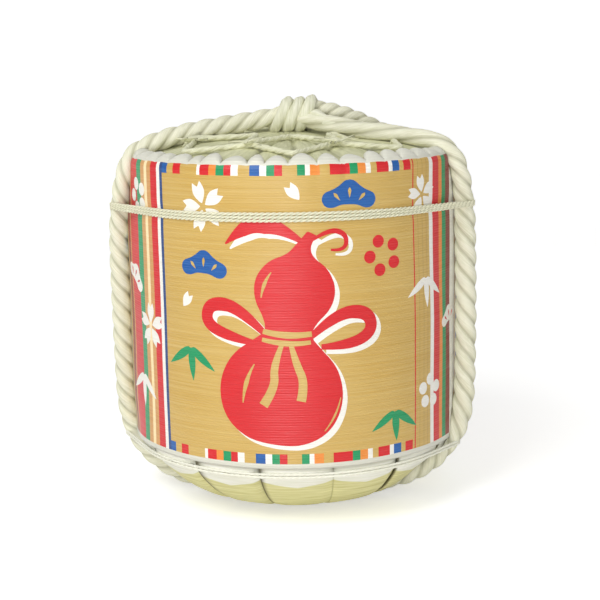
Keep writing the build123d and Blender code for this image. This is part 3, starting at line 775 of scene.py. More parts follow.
# %% Scallops and columns of the sheet
SCALLOPS, SCALLOP_DRIFT, STITCH_HALF = 48, 0.22, 1.4
SCALLOP_LEAST, SCALLOP_SPREAD = 0.78, 0.4
COLUMN_STEP = 3.6
scallop_rng = np.random.default_rng(7)
scallop_drift = scallop_rng.uniform(-SCALLOP_DRIFT, SCALLOP_DRIFT, SCALLOPS)
scallop_ends = np.arange(SCALLOPS + 1) + np.append(scallop_drift, 0.0)
scallop_ends[-1] = scallop_ends[0] + SCALLOPS
scallop_size = SCALLOP_LEAST + SCALLOP_SPREAD * scallop_rng.random(SCALLOPS)
column_edges = [-HALF_ROUND, HALF_ROUND]
for end in scallop_ends:
    place = (end % SCALLOPS) / SCALLOPS * 2 * HALF_ROUND - HALF_ROUND
    column_edges += [place, max(place - STITCH_HALF, -HALF_ROUND), min(place + STITCH_HALF, HALF_ROUND)]
for left, right, _ in stripe_bands + square_bands:
    column_edges += [left, right]
sheet_columns = filled_in(column_edges, COLUMN_STEP)[:-1]
print(f"sheet: {SCALLOPS} scallops, {len(sheet_columns)} columns")

# %% [markdown]
# A real sheet is not a perfect cylinder: it waves a little, the waist cord pulls it in, and it
# laps over itself at the back. One function gives its radius anywhere, and the printed motifs
# use the same function, so they always lie on the sheet.

# %% Shape of the sheet
RIM_ROUND = 11.0
SHEET_THICK, SHEET_INSET = 1.4, 0.4
WAIST, WAIST_PULL, WAIST_REACH = 311.0, 0.9, 6.5
LAP_RISE, LAP_WIDTH = 1.0, 14.0
BROAD_WAVE, BROAD_TURNS, BROAD_START, BROAD_RUN = 0.32, 5, 1.3, 37
FINE_WAVE, FINE_TURNS, FINE_RUN = 0.2, 13, 23
PUCKERS = ((49.0, 3.4, 1.5), (22.0, 5.0, 0.8), (-52.0, 4.0, 0.9), (104.0, 4.0, 0.8), (-118.0, 3.6, 0.8))
PUCKER_LOW, PUCKER_RUN = 322.0, 36.0
SWELL, SWELL_TURN, SWELL_WIDTH = 1.9, -80.0, 11.0
SWELL_LOW, SWELL_HIGH, SWELL_RUN = 84.0, 330.0, 30.0
ASKEW, ASKEW_LEFT, ASKEW_LEFT_RUN = 3.0, 96.0, 30.0
ASKEW_RIGHT, ASKEW_RIGHT_RUN, ASKEW_TOP, ASKEW_TOP_RUN = 250.0, 40.0, 330.0, 130.0
RIM_HEIGHT = WRAP_TOP - RIM_ROUND
RIM_RADIUS = WALL - RIM_ROUND


def wall_radius(across, height):
    """Radius of the printed wall: waves and puckers, the cord's pull, a swell at the left rope, the lap."""
    turn = across / WALL
    waves = BROAD_WAVE * np.sin(BROAD_TURNS * turn + BROAD_START) * np.sin(height / BROAD_RUN)
    waves = waves + FINE_WAVE * np.sin(FINE_TURNS * turn + height / FINE_RUN)
    for spot, width, depth in PUCKERS:
        waves = waves - depth * bell(across, spot, width) * ramp(height, PUCKER_LOW, PUCKER_RUN)
    pull = -WAIST_PULL * bell(height, WAIST, WAIST_REACH)
    lap = LAP_RISE * ramp(across, HALF_ROUND - LAP_WIDTH, LAP_WIDTH)
    swell = SWELL * bell(np.degrees(turn), SWELL_TURN, SWELL_WIDTH) * ramp(height, SWELL_LOW, SWELL_RUN)
    return WALL - SHEET_INSET + waves + pull + lap + swell * ramp(height, SWELL_HIGH, -SWELL_RUN)


def wall_points(across, height, lift=0.0):
    """Points on the printed wall, raised by lift. The right stripes were wound on a little askew."""
    askew = ramp(across, ASKEW_LEFT, ASKEW_LEFT_RUN) * ramp(across, ASKEW_RIGHT, -ASKEW_RIGHT_RUN)
    drift = ASKEW * askew * ramp(height, ASKEW_TOP, -ASKEW_TOP_RUN)
    return around(wall_radius(across, height) + lift, np.degrees((across + drift) / WALL), height)


print(f"wall radius at the front: {wall_radius(0.0, WAIST):.1f} mm at the waist")

# %% [markdown]
# The rows of the net go up the wall, round the rim and in over the scallops, then back down inside
# as the sheet's lower face. Each face takes the ink that is printed at its middle.

# %% Rows of the sheet
ROW_STEP, GATHER_DIP, SCALLOP_FULL = 4.6, 0.7, 0.62
RIM_STEPS, LOWER_HEIGHTS = np.array([-3.4, -1.6, 0.0]), (300.0, 220.0, 140.0)
scallop_place = (sheet_columns + HALF_ROUND) / (2 * HALF_ROUND) * SCALLOPS
scallop_place = np.where(scallop_place < scallop_ends[0], scallop_place + SCALLOPS, scallop_place)
scallop_number = np.searchsorted(scallop_ends, scallop_place, side="right") - 1
scallop_share = (scallop_place - scallop_ends[scallop_number]) / np.diff(scallop_ends)[scallop_number]
scallop_lobe = np.sin(math.pi * np.clip(scallop_share, 0, 1)) ** SCALLOP_FULL
scallop_size = scallop_size[scallop_number]
crest = np.array([
    (168.4, 362.4), (165.6, 365.6), (161.4, 367.8), (156.4, 368.0), (152.0, 366.4), (150.0, 364.6)
])
valley = np.array([
    (169.0, 360.0), (168.7, 360.2), (168.4, 360.3), (168.0, 360.4), (167.7, 360.4), (167.4, 360.3)
])
border_edges = [BORDER_LOW, BORDER_LOW + BORDER_HEIGHT, BORDER_TOP - BORDER_HEIGHT]
sheet_heights = filled_in([SHEET_FOOT, *border_edges, WAIST, RIM_HEIGHT], ROW_STEP)
rim_heights = BORDER_TOP + RIM_STEPS
round_angles = np.arcsin((rim_heights - RIM_HEIGHT) / RIM_ROUND)

outer_rows = [wall_points(sheet_columns, height) for height in sheet_heights]
row_heights = list(sheet_heights)
sheet_turns = np.degrees(sheet_columns / WALL)
rim_offset = wall_radius(sheet_columns, RIM_HEIGHT) - WALL
for angle in round_angles:
    gather = -GATHER_DIP * (1 - scallop_lobe) * angle / round_angles[-1]
    radius = RIM_RADIUS + RIM_ROUND * math.cos(angle) + rim_offset
    outer_rows.append(around(radius, sheet_turns, RIM_HEIGHT + RIM_ROUND * math.sin(angle) + gather))
    row_heights.append(RIM_HEIGHT + RIM_ROUND * math.sin(angle))
lobe_rows = []
for (crest_radius, crest_height), (valley_radius, valley_height) in zip(crest, valley):
    height = valley_height + (crest_height - valley_height) * scallop_lobe * scallop_size
    radius = valley_radius + (crest_radius - valley_radius) * scallop_lobe
    lobe_rows.append(around(radius, sheet_turns, height))
    row_heights.append(BORDER_TOP + 1)
outer_rows += lobe_rows
lower_face = [row - np.array([0, 0, SHEET_THICK]) for row in reversed(lobe_rows)]
for height in (RIM_HEIGHT, *LOWER_HEIGHTS, SHEET_FOOT):
    lower_face.append(wall_points(sheet_columns, height, -SHEET_THICK))
print("rows of the sheet:", len(outer_rows), "outside,", len(lower_face), "inside")

# %% Mesh of the sheet
sheet_net = [pressed_by_rope(row) for row in outer_rows]
sheet_net += [pressed_by_rope(row, GROOVE_PLAY + SHEET_THICK) for row in lower_face]
sheet_net = np.stack(sheet_net)
row_heights += [0.0] * len(lower_face)
ink_names = sorted(INKS)
column_middles = (sheet_columns + np.append(sheet_columns[1:], HALF_ROUND)) / 2
sheet_inks = []
for low, high in zip(row_heights, row_heights[1:] + [0.0]):
    middle = (low + high) / 2
    sheet_inks += [ink_names.index(ink_at(across, middle)) for across in column_middles]
printed_sheet = add_piece(
    "printed_sheet",
    sheet_net,
    closed_net(sheet_net),
    [INKS[ink] for ink in ink_names],
    ["printed_wrap"],
    face_finish=sheet_inks,
)

# %% [markdown]
# Motifs are cut as flat outlines, like stencils: pine tufts, bamboo leaves, plum dots and cherry
# blossom. Each outline is sliced finely, bent onto the wall and given the thickness of an ink
# film. Its edge stays sharp, and it follows every wave of the sheet.

# %% Stencils
SLICE = 4.0
FILM = 0.16
motif_parts = {}


def smooth_outline(points, step=1.2):
    """A closed flat outline that given points steer; a point given twice makes a corner."""
    line = smooth_line([(x, y, 0.0) for x, y in points], step, closed=True)
    return line[:-1, :2]


def turned(points, degrees, scale=1.0, shift=(0.0, 0.0)):
    """Flat points, scaled, turned anticlockwise and moved."""
    angle = math.radians(degrees)
    spin = np.array([[math.cos(angle), math.sin(angle)], [-math.sin(angle), math.cos(angle)]])
    return np.asarray(points) * scale @ spin + np.array(shift)


def mirrored(points):
    """The right half of an outline, followed by its mirror image from the top down."""
    return points + [(-x, y) for x, y in reversed(points)]


def print_stencil(ink, outline, layer=1):
    """Bend a flat outline (across, height) onto the wall as a film of ink."""
    outline = np.asarray(outline)
    film = bmesh.new()
    film.faces.new([film.verts.new((x, y, 0.0)) for x, y in outline])
    low, high = outline.min(axis=0), outline.max(axis=0)
    for axis, normal in ((0, (1, 0, 0)), (1, (0, 1, 0))):
        for cut in np.arange(low[axis] + SLICE, high[axis], SLICE):
            spot = [0.0, 0.0, 0.0]
            spot[axis] = cut
            everything = film.verts[:] + film.edges[:] + film.faces[:]
            bmesh.ops.bisect_plane(film, geom=everything, plane_co=spot, plane_no=normal, dist=1e-4)
    bmesh.ops.triangulate(film, faces=[face for face in film.faces if len(face.verts) > 4])
    lifted = bmesh.ops.extrude_face_region(film, geom=film.faces[:])
    for part in lifted["geom"]:
        if isinstance(part, bmesh.types.BMVert):
            part.co.z = FILM
    film.verts.index_update()
    flat = np.array([vertex.co for vertex in film.verts])
    points = wall_points(flat[:, 0], flat[:, 1], (layer - 1) * FILM + flat[:, 2] - 0.02)
    faces = [[vertex.index for vertex in face.verts] for face in film.faces]
    film.free()
    motif_parts.setdefault(ink, []).append((points, faces))


# %% Motif shapes
PETAL = mirrored([
    (0.0, 0.0), (3.8, 4.6), (6.8, 10.5), (6.4, 15.5), (4.4, 21.0), (4.4, 21.0), (0.0, 16.2), (0.0, 16.2),
])
DOT = [(math.cos(a), math.sin(a)) for a in np.arange(12) * math.tau / 12]
LEAF = mirrored([
    (0.0, 1.0), (2.6, 0.4), (4.0, -5.0), (4.3, -13.0), (2.8, -23.0), (0.0, -32.0), (0.0, -32.0),
])
TUFT = mirrored([
    (0.0, -8.0), (8.0, -8.2), (15.5, -11.6), (22.8, -11.0), (27.0, -4.5),
    (24.8, 2.4), (16.0, 5.4), (9.4, 9.6), (4.6, 14.0), (0.0, 14.8),
])
SLIT = mirrored([(0.0, -4.6), (0.0, -4.6), (1.3, 0.0), (1.7, 2.6), (0.0, 5.0)])


def cherry(ink, across, height, size=1.0, turn=0.0):
    """Five notched petals round an open middle."""
    for number in range(5):
        spin = turn + number * 72
        root = turned([(0.0, 3.0 * size)], spin)[0]
        print_stencil(ink, turned(smooth_outline(PETAL), spin, size, root + (across, height)))


def lone_petal(ink, across, height, size, turn):
    """One fallen petal."""
    print_stencil(ink, turned(smooth_outline(PETAL) - (0, 10), turn, size, (across, height)))


def plum(ink, across, height, reach=14.4, dot=6.3, turn=39.6):
    """Five round petals that stand apart."""
    for number in range(5):
        angle = math.radians(turn + 72 * number)
        middle = (across + reach * math.cos(angle), height + reach * math.sin(angle))
        print_stencil(ink, turned(smooth_outline(DOT, 0.2), 0, dot, middle))


def bamboo(ink, across, height, size=1.0):
    """Three leaves that hang from one point."""
    for layer, (spin, length) in enumerate(((-57.0, 1.0), (3.0, 1.0), (52.0, 1.02))):
        shape = smooth_outline(LEAF) * (1.0, length)
        root = (across + spin / 30 * size, height + 15 * size)
        print_stencil(ink, turned(shape, spin, size, root), 1 + layer / 4)


def pine(ink, slit_ink, across, height, size=1.0, turn=0.0):
    """A tuft of pine with three slits."""
    print_stencil(ink, turned(smooth_outline(TUFT), turn, size, (across, height)))
    for spin, x, y in ((42.0, -12.0, -1.2), (0.0, 0.0, 2.6), (-42.0, 12.0, -1.2)):
        spot = turned([(x, y)], turn, size)[0] + (across, height)
        print_stencil(slit_ink, turned(smooth_outline(SLIT, 0.8), spin + turn, size, spot), layer=2)


outlines = {"petal": PETAL, "dot": DOT, "leaf": LEAF, "tuft": TUFT, "slit_shadow": SLIT}
print("points of the outlines:", {name: len(outline) for name, outline in outlines.items()})

# %% Motifs on the front of the sheet
cherry("white", -89.0, 320.0, 1.0, 18.0)
lone_petal("white", 0.2, 334.0, 0.86, 38.0)
lone_petal("white", -111.6, 229.0, 0.78, -34.0)
pine("blue", "gold", -90.6, 264.4, 0.97, -3.0)
pine("blue", "gold", 52.9, 329.6, 1.01, -2.0)
plum("red", 87.6, 271.4)
bamboo("green", -108.0, 167.0)
bamboo("green", 100.5, 102.4, 0.92)
cherry("white", 137.4, 324.6, 0.8, 10.0)
bamboo("white", 141.6, 228.5, 0.9)
pine("white", "red", 189.0, 198.0, 0.72, 10.0)
plum("white", 147.4, 128.5, 12.0, 6.4, 14.0)
plum("white", -190.0, 323.5, 12.4, 6.6, 36.0)
pine("white", "red", -204.0, 242.5, 0.8, -30.0)
cherry("white", -170.0, 196.0, 0.95, 0.0)
bamboo("white", -192.0, 126.0, 1.0)
print("stencils:", {ink: len(parts) for ink, parts in motif_parts.items()})

# %% [markdown]
# The middle of the panel carries a big red gourd, an old flask for sake, tied with a bow.
# Every red shape has a white one behind it, set a little lower and to the right, which makes the
# print stand out from the gold.

# %% Gourd and bow
SHADOW = (4.6, -4.4)
GOURD_PLACE = (-8.0, 196.0)
GOURD = [
    (0.0, -104.0), (30.0, -101.0), (54.0, -83.0), (62.0, -52.0), (52.0, -22.0), (30.0, -3.0),
    (21.0, 6.0), (25.0, 18.0), (38.0, 34.0), (40.0, 54.0), (29.0, 72.0), (14.0, 80.0),
    (10.0, 90.0), (15.0, 101.0), (15.0, 101.0), (6.0, 104.0), (6.0, 104.0), (-2.0, 92.0),
    (-10.0, 80.0), (-27.0, 72.0), (-38.0, 54.0), (-36.0, 34.0), (-25.0, 18.0), (-21.0, 6.0),
    (-30.0, -3.0), (-52.0, -22.0), (-62.0, -52.0), (-54.0, -83.0), (-30.0, -101.0),
]


def brushed(points, widths):
    """Outline of a brush stroke along given points, with a width at each of them."""
    line = smooth_line([(x, y, 0.0) for x, y in points], 2.0)[:, :2]
    share = np.linspace(0, 1, len(line))
    width = np.interp(share, np.linspace(0, 1, len(widths)), widths)
    along = unit(np.gradient(line, axis=0))
    side = np.stack([-along[:, 1], along[:, 0]], axis=1) * width[:, None] / 2
    return np.vstack([line + side, (line - side)[::-1]])


red_shapes = [
    turned(smooth_outline(GOURD, 2.0), -8),
    brushed([(-18, 2), (-44, 30), (-76, 34), (-82, 14), (-58, 2), (-30, -4)], [5, 10, 13, 12, 10, 5]),
    brushed([(20, 0), (46, 24), (78, 24), (84, 4), (60, -8), (32, -8)], [5, 10, 13, 12, 10, 5]),
    brushed([(21, 88), (4, 101), (-20, 110), (-40, 106), (-58, 90)], [2, 9, 17, 13, 1.5]),
    brushed([(22, 92), (40, 104), (58, 98), (56, 82), (42, 84)], [2, 4, 5, 4, 2]),
]
for shape in red_shapes:
    print_stencil("white", shape + np.array(GOURD_PLACE) + SHADOW)
    print_stencil("red", shape + np.array(GOURD_PLACE), layer=2)
gold_strokes = [
    brushed([(-23, 8), (0, 2), (23, 5)], [5, 6.5, 5]),
    brushed([(-24, 0), (0, -6), (22, -3)], [4, 5.5, 4]),
    brushed([(-5, -4), (-14, -26), (-12, -46), (-24, -64)], [4, 7, 8, 9]),
    brushed([(3, -4), (8, -24), (16, -42), (12, -60)], [4, 7, 8, 9]),
    brushed([(-44, -62), (-42, -40), (-32, -24)], [1, 4.5, 1]),
    brushed([(-24, 40), (-22, 54), (-14, 64)], [1, 3.6, 1]),
    brushed([(34, -90), (46, -76), (50, -58)], [0.8, 2.0, 0.8]),
]
for shape in gold_strokes:
    print_stencil("gold", shape + np.array(GOURD_PLACE), layer=3)
print("gourd and bow:", len(red_shapes), "red shapes,", len(gold_strokes), "gold strokes")

# %% [markdown]
# The photograph doesn't show the back, so the same motifs are scattered there, most of them a little
# larger. All stencils of one ink then become one piece.

# %% Motifs on the back of the sheet
back_places = [
    ("pine", -215.0, 290.0), ("cherry", -120.0, 305.0), ("bamboo", -40.0, 250.0), ("plum", 60.0, 300.0),
    ("pine", 150.0, 262.0), ("cherry", 225.0, 200.0), ("plum", -170.0, 190.0), ("bamboo", -225.0, 120.0),
    ("cherry", -70.0, 140.0), ("pine", 30.0, 180.0), ("bamboo", 120.0, 130.0), ("plum", 215.0, 110.0),
]
for kind, offset, height in back_places:
    across = offset - HALF_ROUND if offset > 0 else offset + HALF_ROUND
    if kind == "pine":
        pine("blue", "gold", across, height, 1.1)
    elif kind == "cherry":
        cherry("white", across, height, 1.1, 12.0)
    elif kind == "plum":
        plum("red", across, height)
    else:
        bamboo("green", across, height, 1.1)

for ink, parts in motif_parts.items():
    points, faces = joined(parts)
    add_piece(f"{ink}_motifs", points, faces, [INKS[ink]], crisp=True)

# %% [markdown]
# The top mat is one round of straw, drawn together in the middle, so it falls into gathers that
# run out to the rim. The gathers are real folds of the mesh, deepest half way out, with painted shade in
# their creases.

# %% Crown of the top mat
MAT_EDGE, MAT_LEVEL, MAT_RISE = 146.0, WRAP_TOP - 1.9, 11.5
HUB_RISE, HUB_REACH, HUB_PLACE = 10.0, 60.0, (-10.0, 38.0)


def crown_height(radius, turn):
    """Height of the full, flat-topped crown of the mat, with the gathered hump behind the knot."""
    share = np.minimum(radius / MAT_EDGE, 1.0)
    x, y, level = np.moveaxis(around(radius, turn, MAT_LEVEL + MAT_RISE * (1 - share**4)), -1, 0)
    away = ((x - HUB_PLACE[0]) ** 2 + (y - HUB_PLACE[1]) ** 2) / HUB_REACH**2
    return level + HUB_RISE * np.exp(-away) * (1 - share**2)


def lay_round(turns, reach, along):
    """Straightened places of straws round the cask: turns set them apart, and along draws them out."""
    angle = np.radians(turns)
    return np.stack(np.broadcast_arrays(reach * np.sin(angle), reach * np.cos(angle), along), axis=-1)


print(f"crown: {crown_height(0.0, 0.0):.1f} mm high in the middle")

# %% Gathers of the top mat
GATHERS, GATHER_DEPTH, GATHER_START = 20, 4.4, 12.0
GATHER_ANGLE = 360 / GATHERS
GATHER_SHADE_START, GATHER_SHADE_RUN = 40, 60
MAT_THICK, MAT_SLACK, MAT_FLUFF = 2.4, 3.4, 0.2
LIP_START, LIP_DROP, LIP_CURVE = 155.0, 0.11, 1.35
MAT_FINENESS, MAT_DRAW = 26, 0.045
mat_radii = np.concatenate([np.linspace(4, MAT_EDGE, 44), [151.0, 156.0, 160.5, 164.0, 166.5]])
mat_turns = np.linspace(-180, 180, 480, endpoint=False)
gather_rng = np.random.default_rng(3)
gather_lean = np.append(gather_rng.uniform(-3.2, 3.2, GATHERS), 0.0)
gather_lean = np.interp(mat_turns, np.linspace(-180, 180, GATHERS + 1), gather_lean)
gather_wave = np.abs(np.sin(np.radians(mat_turns + gather_lean) * GATHERS / 2))
gather_number = (mat_turns + gather_lean + 180 + GATHER_ANGLE / 2) // GATHER_ANGLE
gather_shade_weight = gather_rng.uniform(0.4, 1.0, GATHERS)[gather_number.astype(int) % GATHERS]
mat_net, mat_crease_shade = [], []
for radius in mat_radii:
    reach = ramp(radius, GATHER_START, MAT_EDGE - GATHER_START)
    depth = GATHER_DEPTH * np.sin(math.pi * reach) ** 0.6 if 0 < reach < 1 else 0.0
    lip = LIP_DROP * max(radius - LIP_START, 0) ** LIP_CURVE
    height = crown_height(radius, mat_turns) + MAT_FLUFF - lip - depth * (1 - gather_wave) ** 1.6
    mat_net.append(around(radius, mat_turns, height))
    # Painted shade in the creases of the gathers, stronger in some gathers than others.
    outward = ramp(radius, GATHER_SHADE_START, GATHER_SHADE_RUN)
    mat_crease_shade.append(gather_shade_weight * (1 - gather_wave) ** 3 * outward)
for radius in mat_radii[::-4]:
    height = crown_height(radius, mat_turns) - MAT_THICK - MAT_SLACK
    mat_net.append(around(radius, mat_turns, height))
    mat_crease_shade.append(np.zeros(len(mat_turns)))
mat_net = np.stack([pressed_by_rope(row) for row in mat_net])
mat_reach = np.linalg.norm(mat_net[..., :2], axis=-1)
mat_place = lay_round(mat_turns, MAT_FINENESS, mat_reach * MAT_DRAW)
top_piece = add_piece(
    "straw_top",
    mat_net,
    closed_net(mat_net),
    [top_straw],
    ["top_mat"],
    marks={"lay_place": mat_place.reshape(-1, 3), "crease_shade": np.concatenate(mat_crease_shade)},
)

# %% [markdown]
# The base mat is folded round the foot in broad pleats. Each pleat is its own curved panel, whose
# left edge lies on top of the pleat before it, so the dark lines between them are real gaps. The
# mesh also marks a painted shade in the folds, under the sheet's edge and beside the rope.

# %% Shape of the base
PLEATS, PLEAT_START = 15, -12.5
PLEAT_TUCK, PLEAT_LIFT, PANEL_THICK = 5.0, 3.2, 1.7
SKIRT = MAT - 0.4
skirt_profile = np.array([
    (SKIRT, SKIRT_TOP - 1), (SKIRT, 67.0), (SKIRT - 1.2, 61.0), (SKIRT - 5.0, 54.0),
    (SKIRT - 11.5, 46.0), (SKIRT - 19.5, 38.0), (SKIRT - 28.5, 30.0), (SKIRT - 39.0, 22.5),
    (SKIRT - 52.0, 14.8), (SKIRT - 72.0, 7.0), (SKIRT - 96.0, 1.9), (SKIRT - 120.0, 1.9), (28.0, 1.9),
])
PINCH, PINCH_SPREAD, PINCH_HEIGHT, PINCH_REACH = 9.0, 24.0, 38.0, 20.0
HEELS = (-85.0, 68.0)
NEAR_SHADE, NEAR_REACH, NEAR_MOST = 1.2, 14, 0.95
FOLD_SHADE = [-60, -36, -12, 0, 60], [0.06, 0.06, 0.03, 0.016, 0.01]
FOLD_DEPTH = [-40, -12, 11, 36], [6.0, 5.6, 1.8, 5.4]
FOLD_DARK = [-40, -12, 11, 36], [1.0, 0.85, 0.3, 0.9]
PLEAT_LEAN = [-180, -60, -12, 11, 36, 70, 180], [3.0, 0.0, 0.0, 3.5, 7.5, 6.0, 3.0]
SLIT_SHADOW_HEIGHT, SLIT_SHADOW_REACH = SHEET_FOOT - 1.6, 1.7
COAT_EDGE, COAT_POINT, COAT_WAVE, COAT_FADE = 27.5, 9.0, 1.5, 6.0


def from_front(turn):
    """A turn in degrees, measured from the front, from -180 to 180."""
    return (turn + 180) % 360 - 180


def heel_pinch(turn, height):
    """How far the tight rope draws the soft base in, near the places where it passes under."""
    near = sum(bell(from_front(turn - heel), 0.0, PINCH_SPREAD) for heel in HEELS)
    return PINCH * near * bell(height, PINCH_HEIGHT, PINCH_REACH)


def near_rope(points):
    """A shade that grows where a point comes close to the rope's skin."""
    reach = np.array([rope_tree.find(point)[2] for point in points.reshape(-1, 3)])
    return np.clip(NEAR_SHADE - (reach.reshape(points.shape[:-1]) - ROPE / 2) / NEAR_REACH, 0, NEAR_MOST)


pleat_rng = np.random.default_rng(11)
pleat_edges = PLEAT_START + np.arange(PLEATS) * 360 / PLEATS + pleat_rng.uniform(-0.6, 0.6, PLEATS)
pleat_edges = np.append(pleat_edges, pleat_edges[0] + 360)
profile_line = spaced(np.column_stack([skirt_profile, np.zeros(len(skirt_profile))]), 3.4)[:, :2]
profile_run = run_along(profile_line)
profile_out = np.gradient(profile_line, axis=0)
profile_out = unit(np.column_stack([-profile_out[:, 1], profile_out[:, 0]]))
print(f"base profile: {profile_run[-1]:.0f} mm from the wrap to the middle of the sole")

# %% [markdown]
# Every pleat is the same profile, swept from its left edge to a tuck under the next pleat. Its outer
# and inner skin close into one loop, which the rope then presses in.

# %% Pleats
PLEAT_BELLY, DIP_START, DIP_RUN = 0.8, 0.7, 0.2
EDGE_DROP, EDGE_RUN = 1.8, 0.05
LEFT_SHADE, TUCK_SHADE_RUN = 1.7, 0.014
LEAN_RUN, NARROWEST = 0.32, 0.2
BASE_FINENESS, BASE_DRAW = 3, 0.55
base_panels, base_coat, base_crease_shade = [], [], []
for number in range(PLEATS):
    left, next_left = pleat_edges[number], pleat_edges[number + 1]
    right = next_left + PLEAT_TUCK
    turns = left + (right - left) * np.concatenate([[0, 0.01, 0.025, 0.05], np.linspace(0.08, 1.0, 34)])
    across = (turns - left) / (right - left)
    tuck_share = PLEAT_TUCK / (right - left)
    tuck_depth = np.interp(from_front(next_left), *FOLD_DEPTH)
    dip = ramp(across, DIP_START, DIP_RUN)
    lift = PLEAT_LIFT * (0.5 - 0.4 * across) + PLEAT_BELLY * np.sin(math.pi * across)
    lift = lift - tuck_depth * dip * dip * (3 - 2 * dip) - EDGE_DROP * np.exp(-across / EDGE_RUN)
    # Painted shade along a pleat's left edge and where it tucks under the next one.
    faced = np.interp(from_front(left), *FOLD_SHADE)
    dark = [np.interp(from_front(turn), *FOLD_DARK) for turn in (left, next_left)]
    crease_shade = LEFT_SHADE * dark[0] * np.exp(-across / faced)
    crease_shade = crease_shade + dark[1] * np.exp(-np.maximum(1 - tuck_share - across, 0) / TUCK_SHADE_RUN)
    lean = np.interp(from_front(turns), *PLEAT_LEAN)
    leaning = turns + lean * ramp(1 - profile_line[:, :1] / SKIRT, 0, LEAN_RUN)
    narrow = np.clip(profile_line[:, :1] / SKIRT, NARROWEST, 1)
    skin = []
    for depth in (0.0, -PANEL_THICK):
        out = lift * narrow + depth - PLEAT_LIFT / 2
        radius = profile_line[:, :1] + profile_out[:, :1] * out
        radius = radius - heel_pinch(leaning, profile_line[:, 1:])
        height = np.maximum(profile_line[:, 1:] + profile_out[:, 1:] * out, 0.1 - depth * 0.2)
        skin.append(around(radius, leaning, height))
    loop = pressed_by_rope(np.concatenate([skin[0], skin[1][::-1]]), 0.4)
    rows, columns = loop.shape[:2]
    faces = net_faces(rows, columns, ring_rows=True).tolist()
    for side in (0, columns - 1):
        for row in range(rows // 2 - 1):
            corner_rows = (row, row + 1, rows - 2 - row, rows - 1 - row)
            faces.append([corner_row * columns + side for corner_row in corner_rows])
    run = np.concatenate([profile_run, profile_run[::-1]])[:, None]
    place = lay_round(turns, BASE_FINENESS, run * BASE_DRAW)
    slant = np.clip(across / (1 - tuck_share), 0, 1)
    edge = COAT_EDGE + COAT_POINT * (1 - np.abs(2 * slant - 1)) + COAT_WAVE * math.sin(number * 4.1)
    base_coat.append(np.clip((edge - run) / COAT_FADE + 0.5, 0, 1).ravel())
    # A painted shadow under the sheet's lower edge, and painted shade beside the rope.
    slit_shadow = bell(loop[..., 2], SLIT_SHADOW_HEIGHT, SLIT_SHADOW_REACH)
    slit_shadow = slit_shadow * (0.3 + 0.7 * np.sin(np.radians(turns) * 2.2 + 0.9) ** 2)
    base_crease_shade.append(np.clip(crease_shade + slit_shadow + near_rope(loop), 0, 1).ravel())
    base_panels.append((loop.reshape(-1, 3), faces, place.reshape(-1, 3)))
base_points, base_faces, base_places = joined(base_panels)
base_coat, base_crease_shade = np.concatenate(base_coat), np.concatenate(base_crease_shade)
base_piece = add_piece(
    "pleated_base",
    base_points,
    base_faces,
    [coated_straw],
    ["base_mat"],
    marks={"lay_place": base_places, "coat": base_coat, "crease_shade": base_crease_shade},
)

# %% [markdown]
# Now the rope itself is swept along its line. Its three strands wind to the left, as the slant of
# the strands on both sides of the barrel shows. The knot is one loose strand of the rope, wound
# in three slanting turns round the other end.

# %% Thick rope
drawn_in = rounded_ends(rope_line, 7.0) * rope_swell
points, faces, places = laid_tube(
    rope_line, ROPE, strands=3, lay=rope_lay, sides=30, strand_share=0.66, swell=drawn_in
)
swells = np.repeat(rope_swell, len(places) // ROPE_STEPS)
places = places / np.column_stack([swells, swells, np.ones(len(places))])
add_laid("thick_rope", (points, faces, places), rope_fibre, "main_rope")

# %% Knot
KNOT_STRAND, KNOT_REACH, KNOT_STEPS = 12.8, 13.2, 12
KNOT_FIRST, KNOT_LAST, KNOT_GROWTH, KNOT_UNEVEN = -4, 36, 0.05, 0.8
KNOT_PITCH, KNOT_MIDDLE, KNOT_LEAN, KNOT_LEFT = 12.2, 395.8, 4.4, -14.0
knot_route = []
for step in range(KNOT_FIRST, KNOT_LAST):
    angle = math.radians(step * 360 / KNOT_STEPS)
    bulge = KNOT_REACH + KNOT_GROWTH * step + KNOT_UNEVEN * math.sin(step * 0.9)
    knot_route.append((
        KNOT_LEFT + KNOT_PITCH * step / KNOT_STEPS - KNOT_LEAN * math.cos(angle),
        -bulge * math.sin(angle),
        KNOT_MIDDLE - bulge * math.cos(angle),
    ))
knot_route += [(23.0, -18.0, 399.0), (30.0, -22.5, 392.5), (42.0, -27.0, 386.0), (58.0, -33.0, 382.0)]
knot_line = smooth_line(knot_route, 1.8)
knot_swell = rounded_ends(knot_line, 12.0, 0.3) * (1 + 0.09 * np.sin(np.arange(len(knot_line)) * 0.21))
knot_tube = laid_tube(
    knot_line, KNOT_STRAND, strands=4, lay=-80.0, sides=24, strand_share=0.66, swell=knot_swell
)
add_laid("knot_strand", knot_tube, strand_fibre, "rope_knot")

# %% [markdown]
# Thin cords go round the waist and the foot, tight over the wall and round the outside of the
# thick rope. The shortest way round all three is the hull of three circles, and each turn climbs
# by one cord where it passes the back.


# %% Wound cords
def rope_at(height, side):
    """Where the thick rope's middle passes a height on one side of the barrel."""
    beside = rope_line[(rope_line[:, 0] * side > 120) & (rope_line[:, 2] > SOLE + 5)]
    return beside[np.argmin(np.abs(beside[:, 2] - height))]


def hull(points):
    """Corners of the tightest loop round flat points, anticlockwise."""
    points = sorted(map(tuple, points))
    chain = []
    for run in (points, points[::-1]):
        part = []
        for x, y in run:
            while len(part) > 1 and (part[-1][0] - part[-2][0]) * (y - part[-2][1]) <= (
                part[-1][1] - part[-2][1]
            ) * (x - part[-2][0]):
                part.pop()
            part.append((x, y))
        chain += part[:-1]
    return np.array(chain)


def circle(x, y, radius, count):
    """Even points round a flat circle."""
    angle = np.arange(count) * math.tau / count
    return np.column_stack([x + radius * np.cos(angle), y + radius * np.sin(angle)])


